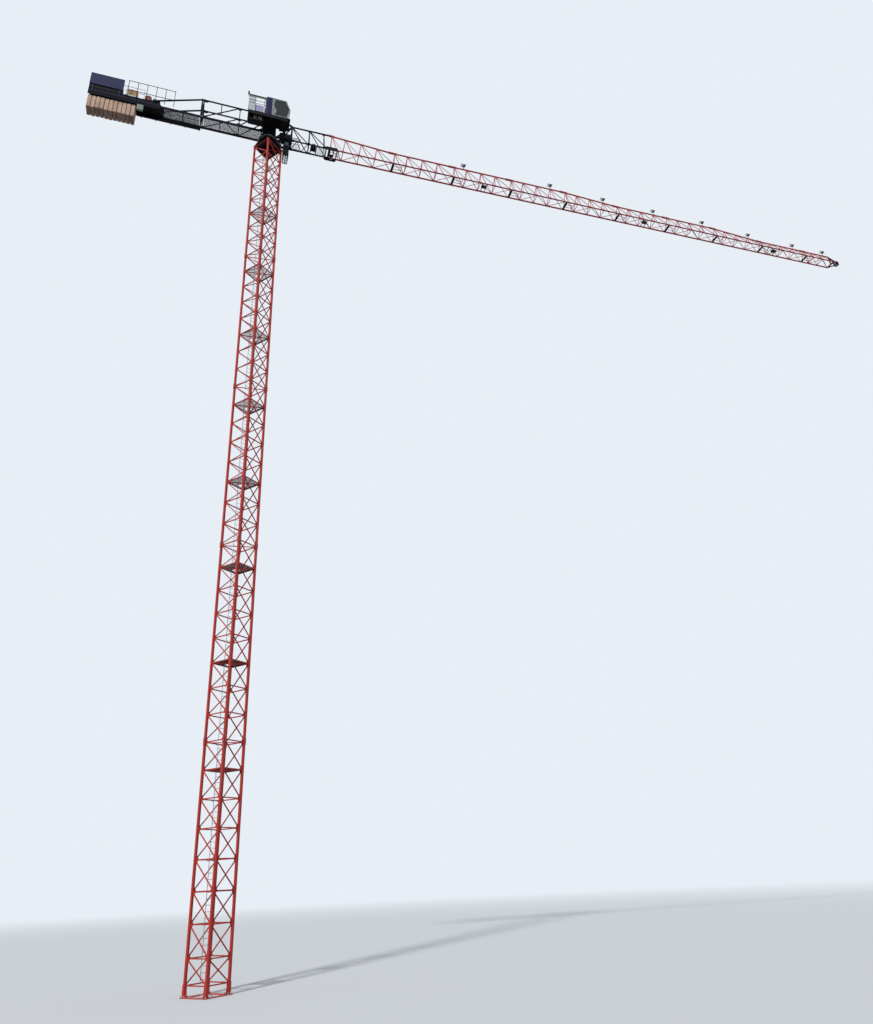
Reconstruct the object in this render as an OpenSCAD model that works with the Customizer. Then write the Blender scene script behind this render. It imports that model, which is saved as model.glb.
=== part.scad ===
// Tower crane with a flat top and a square lattice mast, as a 1:2 scale model.
// The mast's axis is +Z, the ground is z = 0 and the jib reaches along +X.
// Millimetres throughout.

/* [Mast] */
// distance between the leg centres
mast_w = 740; // [640:10:840]
// side of the square legs
leg_s = 60; // [44:2:80]
// height of one bay
bay_h = 740; // [640:10:840]
// height of the lowest bay
foot_bay = 620; // [500:10:740]
// height of the feet below the lowest bay
anchor_h = 230; // [160:10:300]
// side of the horizontal tubes
strut_s = 28; // [20:2:36]
// side of the diagonal tubes
brace_s = 25; // [18:1:32]
// turn of the mast against the jib
mast_turn = 40.5; // [0:0.5:90]

/* [Slewing unit] */
// height of the fixed frame on the mast head
support_h = 330; // [260:10:420]
// outside diameter of the slewing ring
ring_d = 780; // [680:10:880]
// width of the slewing column
column_w = 520; // [440:10:560]
// height of the slewing column over the turntable
column_h = 1650; // [1500:10:1800]

/* [Jib] */
// distance between the two bottom chords
jib_w = 440; // [380:10:520]
// rise of the jib towards its tip in degrees
jib_rise = 1; // [0:0.25:2]
// distance from the mast's axis to the first section
root_x = 2520; // [2300:10:2800]
// length of one jib section
sec_len = 2790; // [2400:10:3000]
// length of the short last section
tip_len = 1750; // [1400:10:2000]
// height of the root section
root_hgt = 1090; // [960:10:1200]
// height of the inner sections
inner_hgt = 880; // [760:10:960]
// height of the middle sections
mid_hgt = 715; // [620:5:760]
// height of the outer sections
outer_hgt = 520; // [440:10:600]
// side of the chords
chord_s = 42; // [32:2:52]
// side of the bracing tubes
lace_s = 20; // [14:1:26]

/* [Counter-jib] */
// distance between the two side frames
cj_w = 500; // [440:10:600]
// distance from the mast's axis to the pinned joint
cj_pin_x = 2700; // [2500:10:2900]
// distance from the mast's axis to the rear end
cj_end_x = 6900; // [6500:10:7200]
// height of the side frames
cj_hgt = 1000; // [860:10:1100]

/* [Ballast] */
// number of slabs
slab_n = 11; // [9:1:12]
// thickness of one slab
slab_t = 150; // [130:1:152]
// gap between slabs
slab_gap = 8; // [6:1:12]
// width of a slab
slab_w = 440; // [380:10:460]
// height of a slab
slab_h = 680; // [560:10:760]

/* [Cab] */
// length of the cab
cab_len = 980; // [860:10:1100]
// width of the cab
cab_w = 560; // [480:10:640]
// height of the cab
cab_h = 1000; // [900:10:1100]

/* [Trolley] */
// distance from the mast's axis to the trolley at rest
trolley_x = 2600; // [2200:10:3200]
// length of the trolley frame
trolley_len = 520; // [400:10:640]

/* [Hidden] */
RED = [0.80, 0.16, 0.09];
NAVY = [0.05, 0.06, 0.11];
BLACK = [0.06, 0.06, 0.07];
GREY = [0.62, 0.64, 0.64];
STONE = [0.72, 0.66, 0.54];
GLASS = [0.05, 0.08, 0.09];
STEEL = [0.45, 0.46, 0.47];
n_bay = 8;
low_h = foot_bay + 7 * bay_h;
sec_h = n_bay * bay_h;
mast_top = anchor_h + low_h + 4 * sec_h;
ring_z = mast_top + support_h;
turn_z = ring_z + 83;
jib_z = turn_z + 127;
cj_z = turn_z + 267;
cab_z = turn_z + 500;
cab_y = -(cj_w / 2 + 90);
cab_x = -cab_len / 4;
walk_len = 685;
guard_h = 930;
board_w = 215;
sec_x = [for (i = [0:9]) root_x + i * sec_len];
sec_hgt = [root_hgt, inner_hgt, inner_hgt, inner_hgt, inner_hgt, mid_hgt, mid_hgt, mid_hgt,
    outer_hgt, outer_hgt, outer_hgt];
tip_x = sec_x[9] + tip_len;
rail_y = jib_w / 2 + chord_s / 2;
slab_top = -170;
girder_top = 190;
slab_x = -cj_end_x + 20;
deck_x = slab_x + slab_n * (slab_t + slab_gap) + 42;
winch_x = deck_x + 355;
girder_x = winch_x + 545;
rail_h = 540;
drum_z = girder_top + 142;
walk_y = cj_w / 2 + 180;

// bays below a section's top at which the mast has a rest platform
function platforms(k) = k == 4 ? [5] : [1, 5];

// straight bar of n sides between two points
module bar(p, q, s, n = 4) {
    d = q - p;
    l = norm(d);
    translate(p)
    rotate([0, acos(d[2] / l), atan2(d[1], d[0])])
    rotate([0, 0, 180 / n])
    cylinder(h = l, d = s / cos(180 / n), $fn = n);
}

// box given by its low corner and its high corner
module block(a, b) {
    translate(a) cube(b - a);
}

// what is inside stands in the jib's own frame, which rises to the tip
module on_jib() {
    translate([0, 0, jib_z]) rotate([0, -jib_rise, 0]) children();
}

// one mast section: four legs, a ring of struts and one diagonal a face and bay,
// with a flat brace from corner to corner at its top and under each platform
module mast_lattice(k) {
    w = mast_w / 2;
    o = leg_s / 2;
    base = k == 0 ? foot_bay : bay_h;
    h = base + (n_bay - 1) * bay_h;
    for (a = [0:3]) rotate([0, 0, 90 * a]) {
        block([w - o, w - o, 0], [w + o, w + o, h]);
        for (z = [0, h - 60]) block([w - o - 9, w - o - 9, z], [w + o + 9, w + o + 9, z + 60]);
        for (i = [0:n_bay - 1]) {
            z0 = i == 0 ? 30 : base + (i - 1) * bay_h - 20;
            z1 = base + i * bay_h - 20;
            bar([w, -w, z1], [w, w, z1], strut_s);
            bar([w, -w, z1], [w, w, z0], brace_s);
        }
        if (k == 0) bar([w, -w, 30], [w, w, 30], strut_s);
    }
    for (n = concat([0], platforms(k)))
        bar([-w, w, h - n * bay_h - 33], [w, -w, h - n * bay_h - 33], brace_s - 1);
}

module mast_part(k) {
    z = k == 0 ? anchor_h : anchor_h + low_h + (k - 1) * sec_h;
    color(RED) rotate([0, 0, mast_turn]) translate([0, 0, z]) mast_lattice(k);
}

module mast_section_1() {
    mast_part(0);
}

module mast_section_2() {
    mast_part(1);
}

module mast_section_3() {
    mast_part(2);
}

module mast_section_4() {
    mast_part(3);
}

module mast_section_5() {
    mast_part(4);
}

// rest platforms with their hatches, and the ladders between them
module access() {
    w = mast_w / 2 - strut_s / 2;
    c = mast_w / 2 - leg_s / 2;
    y = c - 50;
    color(STEEL) rotate([0, 0, mast_turn]) for (k = [0:4]) {
        z = k == 0 ? anchor_h : anchor_h + low_h + (k - 1) * sec_h;
        h = k == 0 ? low_h : sec_h;
        translate([0, 0, z]) {
            for (n = platforms(k)) translate([0, 0, h - n * bay_h - 20])
            linear_extrude(14) difference() {
                union() {
                    square([2 * w, 2 * c], center = true);
                    square([2 * c, 2 * w], center = true);
                }
                translate([20, 50]) square([220, y - 50]);
            }
            for (x = [40, 220]) block([x - 9, y - 9, 60], [x + 9, y + 9, h - 60]);
            for (i = [0:floor((h - 200) / 150)])
                bar([40, y, 100 + 150 * i], [220, y, 100 + 150 * i], 12);
        }
    }
}

// four feet on a flat setting frame
module mast_anchors() {
    w = mast_w / 2;
    o = leg_s / 2;
    color(RED) rotate([0, 0, mast_turn]) {
        linear_extrude(15) difference() {
            square(mast_w + leg_s + 90, center = true);
            square(mast_w - leg_s - 90, center = true);
        }
        for (a = [0:3]) rotate([0, 0, 90 * a]) {
            block([w - o, w - o, 5], [w + o, w + o, anchor_h]);
            block([w - o - 10, w - o - 10, 60], [w + o + 10, w + o + 10, anchor_h]);
            block([w - 6, w - 80, 10], [w + 6, w + 40, 130]);
            block([w - 80, w - 6, 10], [w + 40, w + 6, 130]);
        }
    }
}

// fixed frame between the mast head and the slewing ring
module slewing_support() {
    w = mast_w / 2;
    o = leg_s / 2;
    color(BLACK) {
        translate([0, 0, mast_top]) rotate([0, 0, mast_turn]) {
            difference() {
                block([-w - o - 10, -w - o - 10, 0], [w + o + 10, w + o + 10, 30]);
                block([-200, -200, -1], [200, 200, 31]);
            }
            for (a = [0:3]) rotate([0, 0, 90 * a]) {
                bar([w - 4, w - 4, 21], [w - 90, w - 90, support_h - 30], leg_s);
                block([w - 130, -w + 60, 20], [w - 106, w - 60, support_h - 20]);
                bar([w, -w, 20], [w - 110, 0, support_h - 40], 30);
                bar([w, w, 20], [w - 110, 0, support_h - 40], 30);
            }
        }
        translate([0, 0, ring_z - 40]) difference() {
            cylinder(h = 40, d = ring_d - 10, $fn = 96);
            translate([0, 0, -1]) cylinder(h = 42, d = 420, $fn = 96);
        }
    }
}

module slewing_ring_lower() {
    color(STEEL) translate([0, 0, ring_z]) difference() {
        cylinder(h = 38, d = ring_d, $fn = 96);
        translate([0, 0, -1]) cylinder(h = 40, d = ring_d - 180, $fn = 96);
    }
}

module slewing_ring_upper() {
    color(STEEL) translate([0, 0, ring_z + 41]) difference() {
        union() {
            cylinder(h = 42, d = ring_d, $fn = 96);
            translate([0, 0, -24]) cylinder(h = 30, d = ring_d - 182, $fn = 96);
        }
        translate([0, 0, -25]) cylinder(h = 70, d = ring_d - 230, $fn = 96);
    }
}

// balcony under the turntable on the jib's side
module balcony() {
    c = mast_w / 2 + leg_s / 2;
    x0 = c * 1.4142 + 40;
    h = turn_z - mast_top + 340;
    translate([0, 0, mast_top - 320]) {
        for (x = [x0 + 13, x0 + 110, x0 + 208]) bar([x, -256, 0], [x, 256, 0], 24);
        for (y = [-250, 250]) {
            bar([x0 + 3, y, 0], [x0 + 216, y, 0], 19);
            bar([x0 + 12, y, 7], [x0 + 12, y, h + 10], 22);
            bar([x0 + 208, y, 7], [x0 + 208, y, 410], 17);
            for (z = [210, 400]) bar([x0 + 12, y, z], [x0 + 208, y, z], 14);
            bar([200, y * 0.7, h], [x0 + 20, y, h], 24);
        }
        for (z = [210, 400]) bar([x0 + 208, -250, z], [x0 + 208, 250, z], 13);
        block([x0 + 6, -244, 450], [x0 + 214, 244, h - 45]);
    }
}

// turntable plate with its stiffening box
module turntable() {
    c = column_w / 2;
    color(BLACK) balcony();
    color(BLACK) translate([0, 0, turn_z]) {
        difference() {
            union() {
                cylinder(h = 30, d = ring_d + 30, $fn = 96);
                block([-c - 60, -c, 0], [c, c, 110]);
            }
            translate([0, 0, -1]) cylinder(h = 150, d = 300, $fn = 96);
        }
        for (y = [-100, 100]) translate([470, y, 0]) block([-200, -60, 0], [60, 60, 24]);
    }
}

// two slewing motors standing on the turntable
module slew_drives() {
    c = column_w / 2;
    color(STEEL) translate([0, 0, turn_z]) for (y = [-100, 100]) translate([470, y, 24]) {
        cylinder(h = 90, d = 110, $fn = 48);
        translate([0, 0, 90]) cylinder(h = 120, d = 86, $fn = 48);
        translate([0, 0, -60]) cylinder(h = 36, d = 60, $fn = 48);
    }
}

// four-post column that carries the jib, the counter-jib and the cab
module slewing_column() {
    c = column_w / 2;
    h = column_h;
    color(BLACK) translate([0, 0, turn_z + 110]) {
        for (x = [-c + 30, c - 30]) for (y = [-c + 30, c - 30])
            block([x - 30, y - 30, 0], [x + 30, y + 30, h - 110]);
        for (z = [0, 380, 760, h - 170]) {
            for (s = [-1, 1]) {
                bar([-c + 30, s * (c - 30), z + 30], [c - 30, s * (c - 30), z + 30], 50);
                bar([s * (c - 30), -c + 30, z + 30], [s * (c - 30), c - 30, z + 30], 50);
            }
        }
        for (s = [-1, 1]) {
            bar([-c + 30, s * (c - 30), 30], [c - 30, s * (c - 30), 410], 36);
            bar([c - 30, s * (c - 30), 410], [-c + 30, s * (c - 30), 790], 36);
            bar([-c + 30, s * (c - 30), 790], [c - 30, s * (c - 30), h - 140], 36);
        }
        for (s = [-1, 1]) {
            block([-c + 50, s * (c - 30) - 5, 40], [c - 50, s * (c - 30) + 5, 640]);
            block([s * (c - 30) - 4, -c + 48, 44], [s * (c - 30) + 4, c - 48, 636]);
        }
        block([-c + 10, -c + 20, h - 110], [c - 10, c - 20, h - 90]);
        block([c - 60, -40, h - 200], [c, 40, h - 20]);
    }
}

// straight piece of top chord between stations xa and xb with half height t and half width u
module top_chord(xa, xb, ha, hb, t, u) {
    rotate([90, 0, 0]) linear_extrude(2 * u, center = true)
        polygon([[xa, ha - t], [xb, hb - t], [xb, hb + t], [xa, ha + t]]);
}

// bottom chords with the ledges that the trolley's wheels run on
module bottom_chords(x0, x1) {
    b = jib_w / 2;
    for (s = [-1, 1]) {
        e = s * (b + chord_s / 2);
        block([x0, s * b - chord_s / 2, -chord_s / 2], [x1, s * b + chord_s / 2, chord_s / 2]);
        block([x0, e - 14, -chord_s / 2], [x1, e + 14, -chord_s / 2 + 8]);
    }
}

// three-chord lattice length between stations x0 and x1 with heights h0 and h1: the posts
// lean forward, and from each top node a diagonal falls to the foot of the next post
module jib_lattice(x0, x1, h0, h1, nb) {
    b = jib_w / 2;
    p = (x1 - x0) / nb;
    top = [for (i = [0:nb - 1]) x0 + 140 + (i > 0 ? i * p - 110 : 0)];
    foot = [for (i = [0:nb]) i == 0 ? x0 + 35 : (i == nb ? x1 - 40 : top[i] - 160)];
    for (s = [-1, 1]) for (i = [0:nb - 1]) {
        h = h0 + (top[i] - x0) / (x1 - x0) * (h1 - h0);
        bar([foot[i], s * b, 0], [top[i], 0, h], lace_s + 2);
        bar([top[i], 0, h], [foot[i + 1], s * b, 0], lace_s);
    }
    bottom_chords(x0, x1);
    top_chord(x0, x1, h0, h1, chord_s / 2 + 2, chord_s / 2 + 2);
    for (x = [x0 + 30, x1 - 30]) bar([x, -b, 0], [x, b, 0], 30);
    for (i = [0:nb - 1]) {
        s = i % 2 == 0 ? -1 : 1;
        if (i > 0) bar([foot[i], -b, 0], [foot[i], b, 0], lace_s + 1);
        bar([foot[i], s * b, 0], [foot[i + 1], -s * b, 0], lace_s - 1);
    }
    bar([x0 + 400, -b, 0], [x0 + 400, b, 0], lace_s - 2);
    for (y = [-70, 70]) bar([x0 + 30, y, 0], [x0 + 400, y, 0], lace_s - 4);
}

// root section with its tie to the column's head
module jib_root() {
    b = jib_w / 2;
    x0 = column_w / 2 + 0.7;
    r = root_x - 1560;
    lean = (root_hgt + 480) * sin(jib_rise);
    top = [r, r + 740, r + 1350];
    foot = [r - 50, r + 690, r + 1350];
    wide = [54, 34, 24];
    color(NAVY) on_jib() {
        bottom_chords(r + 40, root_x);
        top_chord(r - 10, root_x, root_hgt, root_hgt, chord_s / 2 + 2, chord_s / 2 + 2);
        for (s = [-1, 1]) {
            block([x0, s * b - 34, -34], [r + 50, s * b + 34, 34]);
            for (i = [0:2]) bar([foot[i], s * b, 0], [top[i], 0, root_hgt], wide[i]);
            bar([top[0], 0, root_hgt], [foot[1] - 50, s * b, 0], 30);
            bar([top[1], 0, root_hgt], [foot[2] + 80, s * b, 0], 28);
            bar([x0 + 30, s * b, 20], [top[0], 0, root_hgt], 40);
            bar([640, s * b, 0], [640, 0, root_hgt + 220], 36);
        }
        block([x0 + lean, -38, root_hgt + 400], [x0 + lean + 40, 38, root_hgt + 480]);
        bar([x0 + lean + 30, 0, root_hgt + 440], [r + 20, 0, root_hgt], 60);
        for (x = [x0 + 40, 640]) bar([x, -b, 0], [x, b, 0], 46);
        bar([640, -b, 0], [foot[0], b, 0], 32);
        for (x = [foot[0], foot[1], foot[2] + 80]) bar([x, -b, 0], [x, b, 0], 28);
        for (i = [0:2]) {
            s = i % 2 == 0 ? 1 : -1;
            bar([foot[0] + i * 230, s * b, 0], [foot[0] + (i + 1) * 230, -s * b, 0], 22);
        }
        bar([root_x - 30, -b, 0], [root_x - 30, b, 0], 30);
    }
}

// one red section with the collars that its top chord is pinned by
module jib_part(i) {
    x0 = sec_x[i - 1];
    x1 = sec_x[i];
    g = (sec_hgt[i] - sec_hgt[i - 1]) / sec_len;
    color(RED) on_jib() {
        jib_lattice(x0, x1, sec_hgt[i - 1], sec_hgt[i], 4);
        top_chord(x0, x0 + 230, sec_hgt[i - 1], sec_hgt[i - 1] + 230 * g, 33, 33);
        top_chord(x1 - 140, x1, sec_hgt[i] - 140 * g, sec_hgt[i], 34, 34);
    }
}

module jib_section_1() {
    jib_part(1);
}

module jib_section_2() {
    jib_part(2);
}

module jib_section_3() {
    jib_part(3);
}

module jib_section_4() {
    jib_part(4);
}

module jib_section_5() {
    jib_part(5);
}

module jib_section_6() {
    jib_part(6);
}

module jib_section_7() {
    jib_part(7);
}

module jib_section_8() {
    jib_part(8);
}

module jib_section_9() {
    jib_part(9);
}

module jib_tip() {
    color(RED) on_jib() {
        jib_lattice(sec_x[9], tip_x, outer_hgt, outer_hgt, 3);
        top_chord(sec_x[9], sec_x[9] + 230, outer_hgt, outer_hgt, 33, 33);
    }
}

// rope sheaves and stop frame on the end of the jib
module tip_head() {
    b = jib_w / 2;
    color(BLACK) on_jib() translate([tip_x, 0, 0]) {
        for (s = [-1, 1]) {
            bar([24, s * b, 0], [430, s * 70, 120], 40);
            bar([24, 0, outer_hgt - 40], [430, s * 70, 160], 36);
            block([300, s * 70 - 8, 20], [520, s * 70 + 8, 260]);
        }
        block([0, -b - 20, -20], [40, b + 20, 20]);
        bar([21, 0, 0], [21, 0, outer_hgt + 20], 42);
        for (x = [330, 500]) bar([x, -70, 60], [x, 70, 60], 30);
        translate([420, 0, 140]) rotate([90, 0, 0]) cylinder(h = 90, d = 190, center = true, $fn = 48);
        translate([420, 0, 140]) rotate([90, 0, 0]) cylinder(h = 170, d = 40, center = true, $fn = 48);
    }
}

// three rope rollers under the bottom plane of the jib
module rope_rollers() {
    color(BLACK) on_jib() for (x = [sec_x[2] + 1505, sec_x[5] + 1508, sec_x[8] + 840]) {
        translate([x, 0, 0]) {
            block([-120, -60, 12], [120, 60, 106]);
            for (u = [-90, 90]) bar([u, chord_s / 2 - jib_w / 2, 24], [u, jib_w / 2 - chord_s / 2, 24], 24);
        }
    }
}

// eight floodlights on short posts along the top chord
module floodlights() {
    color(BLACK) on_jib() for (p = [[2, 600], [3, 2160], [4, 2175], [5, 2178], [6, 2260], [7, 2230],
        [8, 2240], [9, 1430]]) {
        n = p[0];
        slope = n == 9 ? 0 : (sec_hgt[n + 1] - sec_hgt[n]) / sec_len;
        h = sec_hgt[n] + p[1] * slope + 11 * abs(slope) + 0.1;
        translate([sec_x[n] + p[1], 0, h + chord_s / 2 + 2]) {
            bar([0, 0, 0], [0, 0, 170], 22);
            bar([-70, 0, 170], [70, 0, 190], 20);
            for (s = [-1, 1]) translate([60 * s, 0, 240]) rotate([0, 35 * s, 0])
                cube([70, 130, 110], center = true);
        }
    }
}

// winch that pulls the trolley, inside the root section
module trolley_winch() {
    color(BLACK) on_jib() translate([root_x - 660, 0, 20]) {
        for (x = [-110, 110]) bar([x, chord_s / 2 - jib_w / 2, 10], [x, jib_w / 2 - chord_s / 2, 10], 36);
        block([-130, -124, 18], [130, 124, 48]);
        translate([0, 0, 150]) rotate([90, 0, 0]) cylinder(h = 200, d = 190, center = true, $fn = 48);
        translate([0, 0, 150]) rotate([90, 0, 0]) cylinder(h = 260, d = 60, center = true, $fn = 48);
        for (s = [-1, 1]) block([-60, s * 116 - 8, 40], [60, s * 116 + 8, 190]);
    }
}

// front frames of the counter-jib
module counter_jib_front() {
    b = cj_w / 2;
    x0 = -column_w / 2;
    x1 = -cj_pin_x;
    m = x1 + 1470;
    color(NAVY) translate([0, 0, cj_z]) {
        for (s = [-1, 1]) {
            block([x1, s * b - 25, -50], [x0, s * b + 25, 30]);
            bar([x1, s * b, cj_hgt], [x0, s * b, cj_hgt], 44);
            bar([x0 - 30, s * b, 0], [x0 - 30, s * b, cj_hgt], 36);
            bar([m, s * b, 0], [m, s * b, cj_hgt], 36);
            bar([x1 + 35, s * b, 0], [x1 + 35, s * b, cj_hgt], 50);
            bar([m - 30, s * b, cj_hgt], [x1 + 40, s * b, 0], 32);
            bar([m + 20, s * b, 0], [x0 - 70, s * b, cj_hgt], 32);
            block([x1, s * b - 30, cj_hgt - 30], [x1 + 90, s * b + 30, cj_hgt + 30]);
            block([x1, s * b - 30, -56], [x1 + 90, s * b + 30, 36]);
        }
        for (x = [x0 - 50, m, m - 740, x1 + 35]) {
            bar([x, -b, -10], [x, b, -10], 36);
            bar([x, -b, cj_hgt], [x, b, cj_hgt], 34);
        }
        bar([m - 520, -b, -10], [m - 40, b, -10], 24);
    }
}

// steel bars over the side frames that carry the slabs
module slab_hangers() {
    b = cj_w / 2 - 3;
    for (i = [0:slab_n - 1]) translate([slab_x + i * (slab_t + slab_gap) + slab_t / 2, 0, 0]) {
        block([-20, -b, 24], [20, b, 62]);
        for (s = [-1, 1]) block([-14, s * 150 - 14, slab_top], [14, s * 150 + 14, 40]);
    }
}

// deep plate girder of the rear end with its flanges and stiffeners
module side_girder(y) {
    x1 = -cj_end_x;
    g = girder_x;
    t = girder_top;
    translate([0, y, 0]) {
        rotate([90, 0, 0]) linear_extrude(20, center = true)
            polygon([[x1, -160], [g - 160, -160], [g, -40], [g, 20], [g - 120, t - 6], [x1, t - 6]]);
        block([x1, -24, t - 12], [g - 120, 24, t]);
        block([x1, -24, -160], [g - 160, 24, -148]);
        for (x = [x1 + 30:480:g - 200]) block([x, -22, -150], [x + 12, 22, t - 10]);
    }
}

// rear frames of the counter-jib, where the top chord slopes down on the side girders
module counter_jib_rear() {
    b = cj_w / 2;
    x0 = -cj_pin_x - 0.3;
    x1 = -cj_end_x;
    beam_x = winch_x + 205;
    beam_z = girder_top + 53;
    slope = (cj_hgt - beam_z) / (x0 - 20 - beam_x);
    color(NAVY) translate([0, 0, cj_z]) {
        for (s = [-1, 1]) {
            block([x1, s * b - 25, -50], [x0, s * b + 25, 30]);
            bar([x0 - 30, s * b, 0], [x0 - 30, s * b, cj_hgt], 50);
            bar([x0 - 20, s * b, cj_hgt], [beam_x - 93 / slope, s * b, beam_z - 93], 46);
            block([x0 - 54, s * b - 28, cj_hgt - 28], [x0, s * b + 28, cj_hgt + 28]);
            side_girder(s * b);
        }
        for (x = [x0 - 30, x0 - 700, girder_x + 60, girder_x - 440, deck_x + 20])
            bar([x, -b, -10], [x, b, -10], 36);
        for (x = [girder_x - 140, deck_x, deck_x - 600, deck_x - 1200, x1 + 25])
            bar([x, -b, girder_top - 20], [x, b, girder_top - 20], 39);
        bar([x0 - 27, -b, cj_hgt], [x0 - 27, b, cj_hgt], 36);
        for (i = [0:4]) {
            x = x0 - 50 - i * 560;
            bar([x, b, -10], [x, walk_y, -10], 33);
        }
        slab_hangers();
    }
}

// floor plates between the side frames and the walkway on the far side
module counter_deck() {
    b = cj_w / 2 - 26;
    c = column_w / 2;
    color(GREY) translate([0, 0, cj_z + 8]) {
        block([-cj_pin_x + 95, -b, 0], [-c - 70, b, 18]);
        block([deck_x, -b, 0], [-cj_pin_x - 70, b, 18]);
        block([deck_x - 60, cj_w / 2 + 30, -1], [-cj_pin_x - 20, walk_y, 17]);
        block([-cj_end_x + 10, -b, girder_top - 8], [deck_x + 40, b, girder_top + 10]);
    }
}

// one length of hand rail from station xa to station xb that stands at height z
module hand_rail(xa, xb, y, z, n) {
    for (i = [0:n]) {
        x = xa + (xb - xa) * i / n;
        bar([x, y, z], [x, y, z + rail_h], 16);
    }
    for (h = [rail_h / 2, rail_h - 10]) bar([xa, y, z + h], [xb, y, z + h], 14);
}

// hand rails of the rear deck, its end and the walkway
module counter_rails() {
    b = cj_w / 2;
    e = -cj_end_x + 12;
    color(GREY) translate([0, 0, cj_z]) {
        hand_rail(deck_x + 200, e, -b - 8, girder_top, 3);
        hand_rail(deck_x - 80, e, b + 8, girder_top, 3);
        hand_rail(-cj_pin_x - 30, deck_x - 50, walk_y - 10, 25, 4);
        for (h = [rail_h / 2, rail_h - 10]) bar([e, -b - 8, girder_top + h], [e, b + 8, girder_top + h], 13);
    }
}

// concrete slabs with bevelled edges that hang under the side girders
module ballast() {
    w = slab_w / 2;
    c = 22;
    color(STONE) for (i = [0:slab_n - 1])
        translate([slab_x + i * (slab_t + slab_gap), 0, cj_z + slab_top]) rotate([90, 0, 90])
            linear_extrude(slab_t) polygon([[-w + c, -slab_h], [w - c, -slab_h], [w, c - slab_h], [w, -c],
                [w - c, 0], [c - w, 0], [-w, -c], [-w, c - slab_h]]);
}

// hoist winch frame: two beams on the girders and a cheek on each side of the drum
module hoist_winch() {
    b = cj_w / 2;
    color(NAVY) translate([winch_x, 0, cj_z]) {
        for (x = [-235, 235]) block([x - 30, -b + 12, girder_top + 0.3], [x + 30, b - 12, girder_top + 24]);
        block([170, -198, girder_top + 0.4], [440, 198, girder_top + 235]);
        for (s = [-1, 1]) translate([0, s * 152, 0]) rotate([90, 0, 0]) linear_extrude(18, center = true) {
            polygon([[-264, girder_top - 40], [264, girder_top - 40], [264, girder_top + 70],
                [70, drum_z + 60], [-70, drum_z + 60], [-264, girder_top + 70]]);
            translate([0, drum_z]) circle(d = 190, $fn = 48);
        }
    }
}

// winch drum with its flanges and stub shafts, and the round motor on the near side
module winch_drum() {
    color([0.55, 0.07, 0.09]) translate([winch_x, 0, cj_z + drum_z]) rotate([90, 0, 0]) {
        cylinder(h = 240, d = 210, center = true, $fn = 64);
        for (s = [-1, 1]) translate([0, 0, s * 122]) cylinder(h = 16, d = 300, center = true, $fn = 64);
        for (s = [-1, 1]) translate([0, 0, s * 136]) cylinder(h = 13.4, d = 90, center = true, $fn = 48);
        translate([0, 0, 161.3]) cylinder(h = 88, d = 262, $fn = 48);
        translate([0, 0, 249.3]) cylinder(h = 20, d = 200, $fn = 48);
    }
}

// cabinet on the upper deck, and a small box under the near girder
module electric_cabinet() {
    y = -cj_w / 2;
    color([0.78, 0.62, 0.42]) {
        translate([deck_x - 250, 0, cj_z + girder_top + 18.3]) block([-180, -150, 0], [180, 190, 520]);
        translate([deck_x + 115, y, cj_z - 160]) block([-115, -24, -290], [115, 60, -0.3]);
    }
}

// board on the near girder at the rear end
module rear_board() {
    y = -cj_w / 2 - 25;
    color(NAVY) translate([-cj_end_x, y, cj_z + 370]) {
        block([0, -26, 0], [1220, 0, 610]);
        for (x = [120, 1080]) block([x, -15, -390], [x + 40, 0, 20]);
    }
}

// open frame on the near girder that held single letters
module open_board() {
    y = -cj_w / 2 - 34;
    x0 = -cj_end_x + 1370;
    l = 1760;
    color(BLACK) translate([x0, y, cj_z]) {
        for (z = [510, 1040]) bar([10, 0, z], [l - 10, 0, z], 16);
        for (i = [0:5]) bar([10 + i * (l - 20) / 5, 0, 150], [10 + i * (l - 20) / 5, 0, 1052], 20);
    }
}

// walkway beside the column that carries the cab, with its skirt and its tall guard rail
module cab_platform() {
    w = cab_w + 30;
    c = column_w / 2;
    r = cab_x - walk_len;
    p = r + 12;
    f = cab_x + cab_len;
    y = -w + 12;
    color(BLACK) translate([0, cab_y, cab_z]) {
        block([r, -w, -20], [f + 25, 0, 0]);
        block([r + 10, -w, -170], [f - 375, -w + 10, -10]);
        block([f - 375, -w + 20, -170], [f - 95, -40, -10]);
        for (x = [-c + 5, c - 55]) block([x, -w + 5, -80], [x + 50, -cab_y - c, -12]);
        for (x = [p, p + 258, cab_x - 67]) bar([x, y, -10], [x, y, guard_h], 16);
        bar([p, -12, -10], [p, -12, guard_h], 16);
        for (z = [457, 627, 827]) {
            bar([p, y, z], [cab_x - 5, y, z], 13);
            bar([p, y, z], [p, -12, z], 13);
        }
        block([p - 7, y - 6, guard_h - 68], [cab_x - 7, y + 6, guard_h + 10]);
        bar([cab_x - 13, y, -10], [cab_x - 13, y, guard_h], 22);
        bar([p - 40, y, 780], [p - 40, y, 920], 14);
        bar([p, y, 790], [p - 44, y, 790], 12);
        translate([p - 40, y, 915]) cylinder(h = 150, d = 64, $fn = 32);
        block([p + 18, -272, -440], [cab_x - 85, -260, -12]);
        block([p + 22, -w + 64, -436], [cab_x - 89, -266, -424]);
        block([p + 19, -w + 60, -438], [cab_x - 86, -w + 70, -380]);
        for (x = [p + 28, cab_x - 107]) block([x, -w + 66, -430], [x + 12, -268, -14]);
    }
}

// rear edge of the cab's side windows at height z above the floor
function pillar(z) = z < 630 ? 375 + 58 * sin(180 * (455 - z) / 350) : 317 + 0.15 * (z - 630);

// side outline of the cab, drawn in by d on every side
function cab_side(d) = [[d, d], [cab_len - 90 - d, d], [cab_len - d, 560], [cab_len - 160 - d, cab_h - d],
    [d, cab_h - d]];

// outline of the side window
function cab_window() = concat([[cab_len - 140, 60], [cab_len - 45, 560], [cab_len - 200, cab_h - 50]],
    [for (i = [0:14]) let (z = cab_h - 50 - i * (cab_h - 110) / 14) [pillar(z), z]]);

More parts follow.
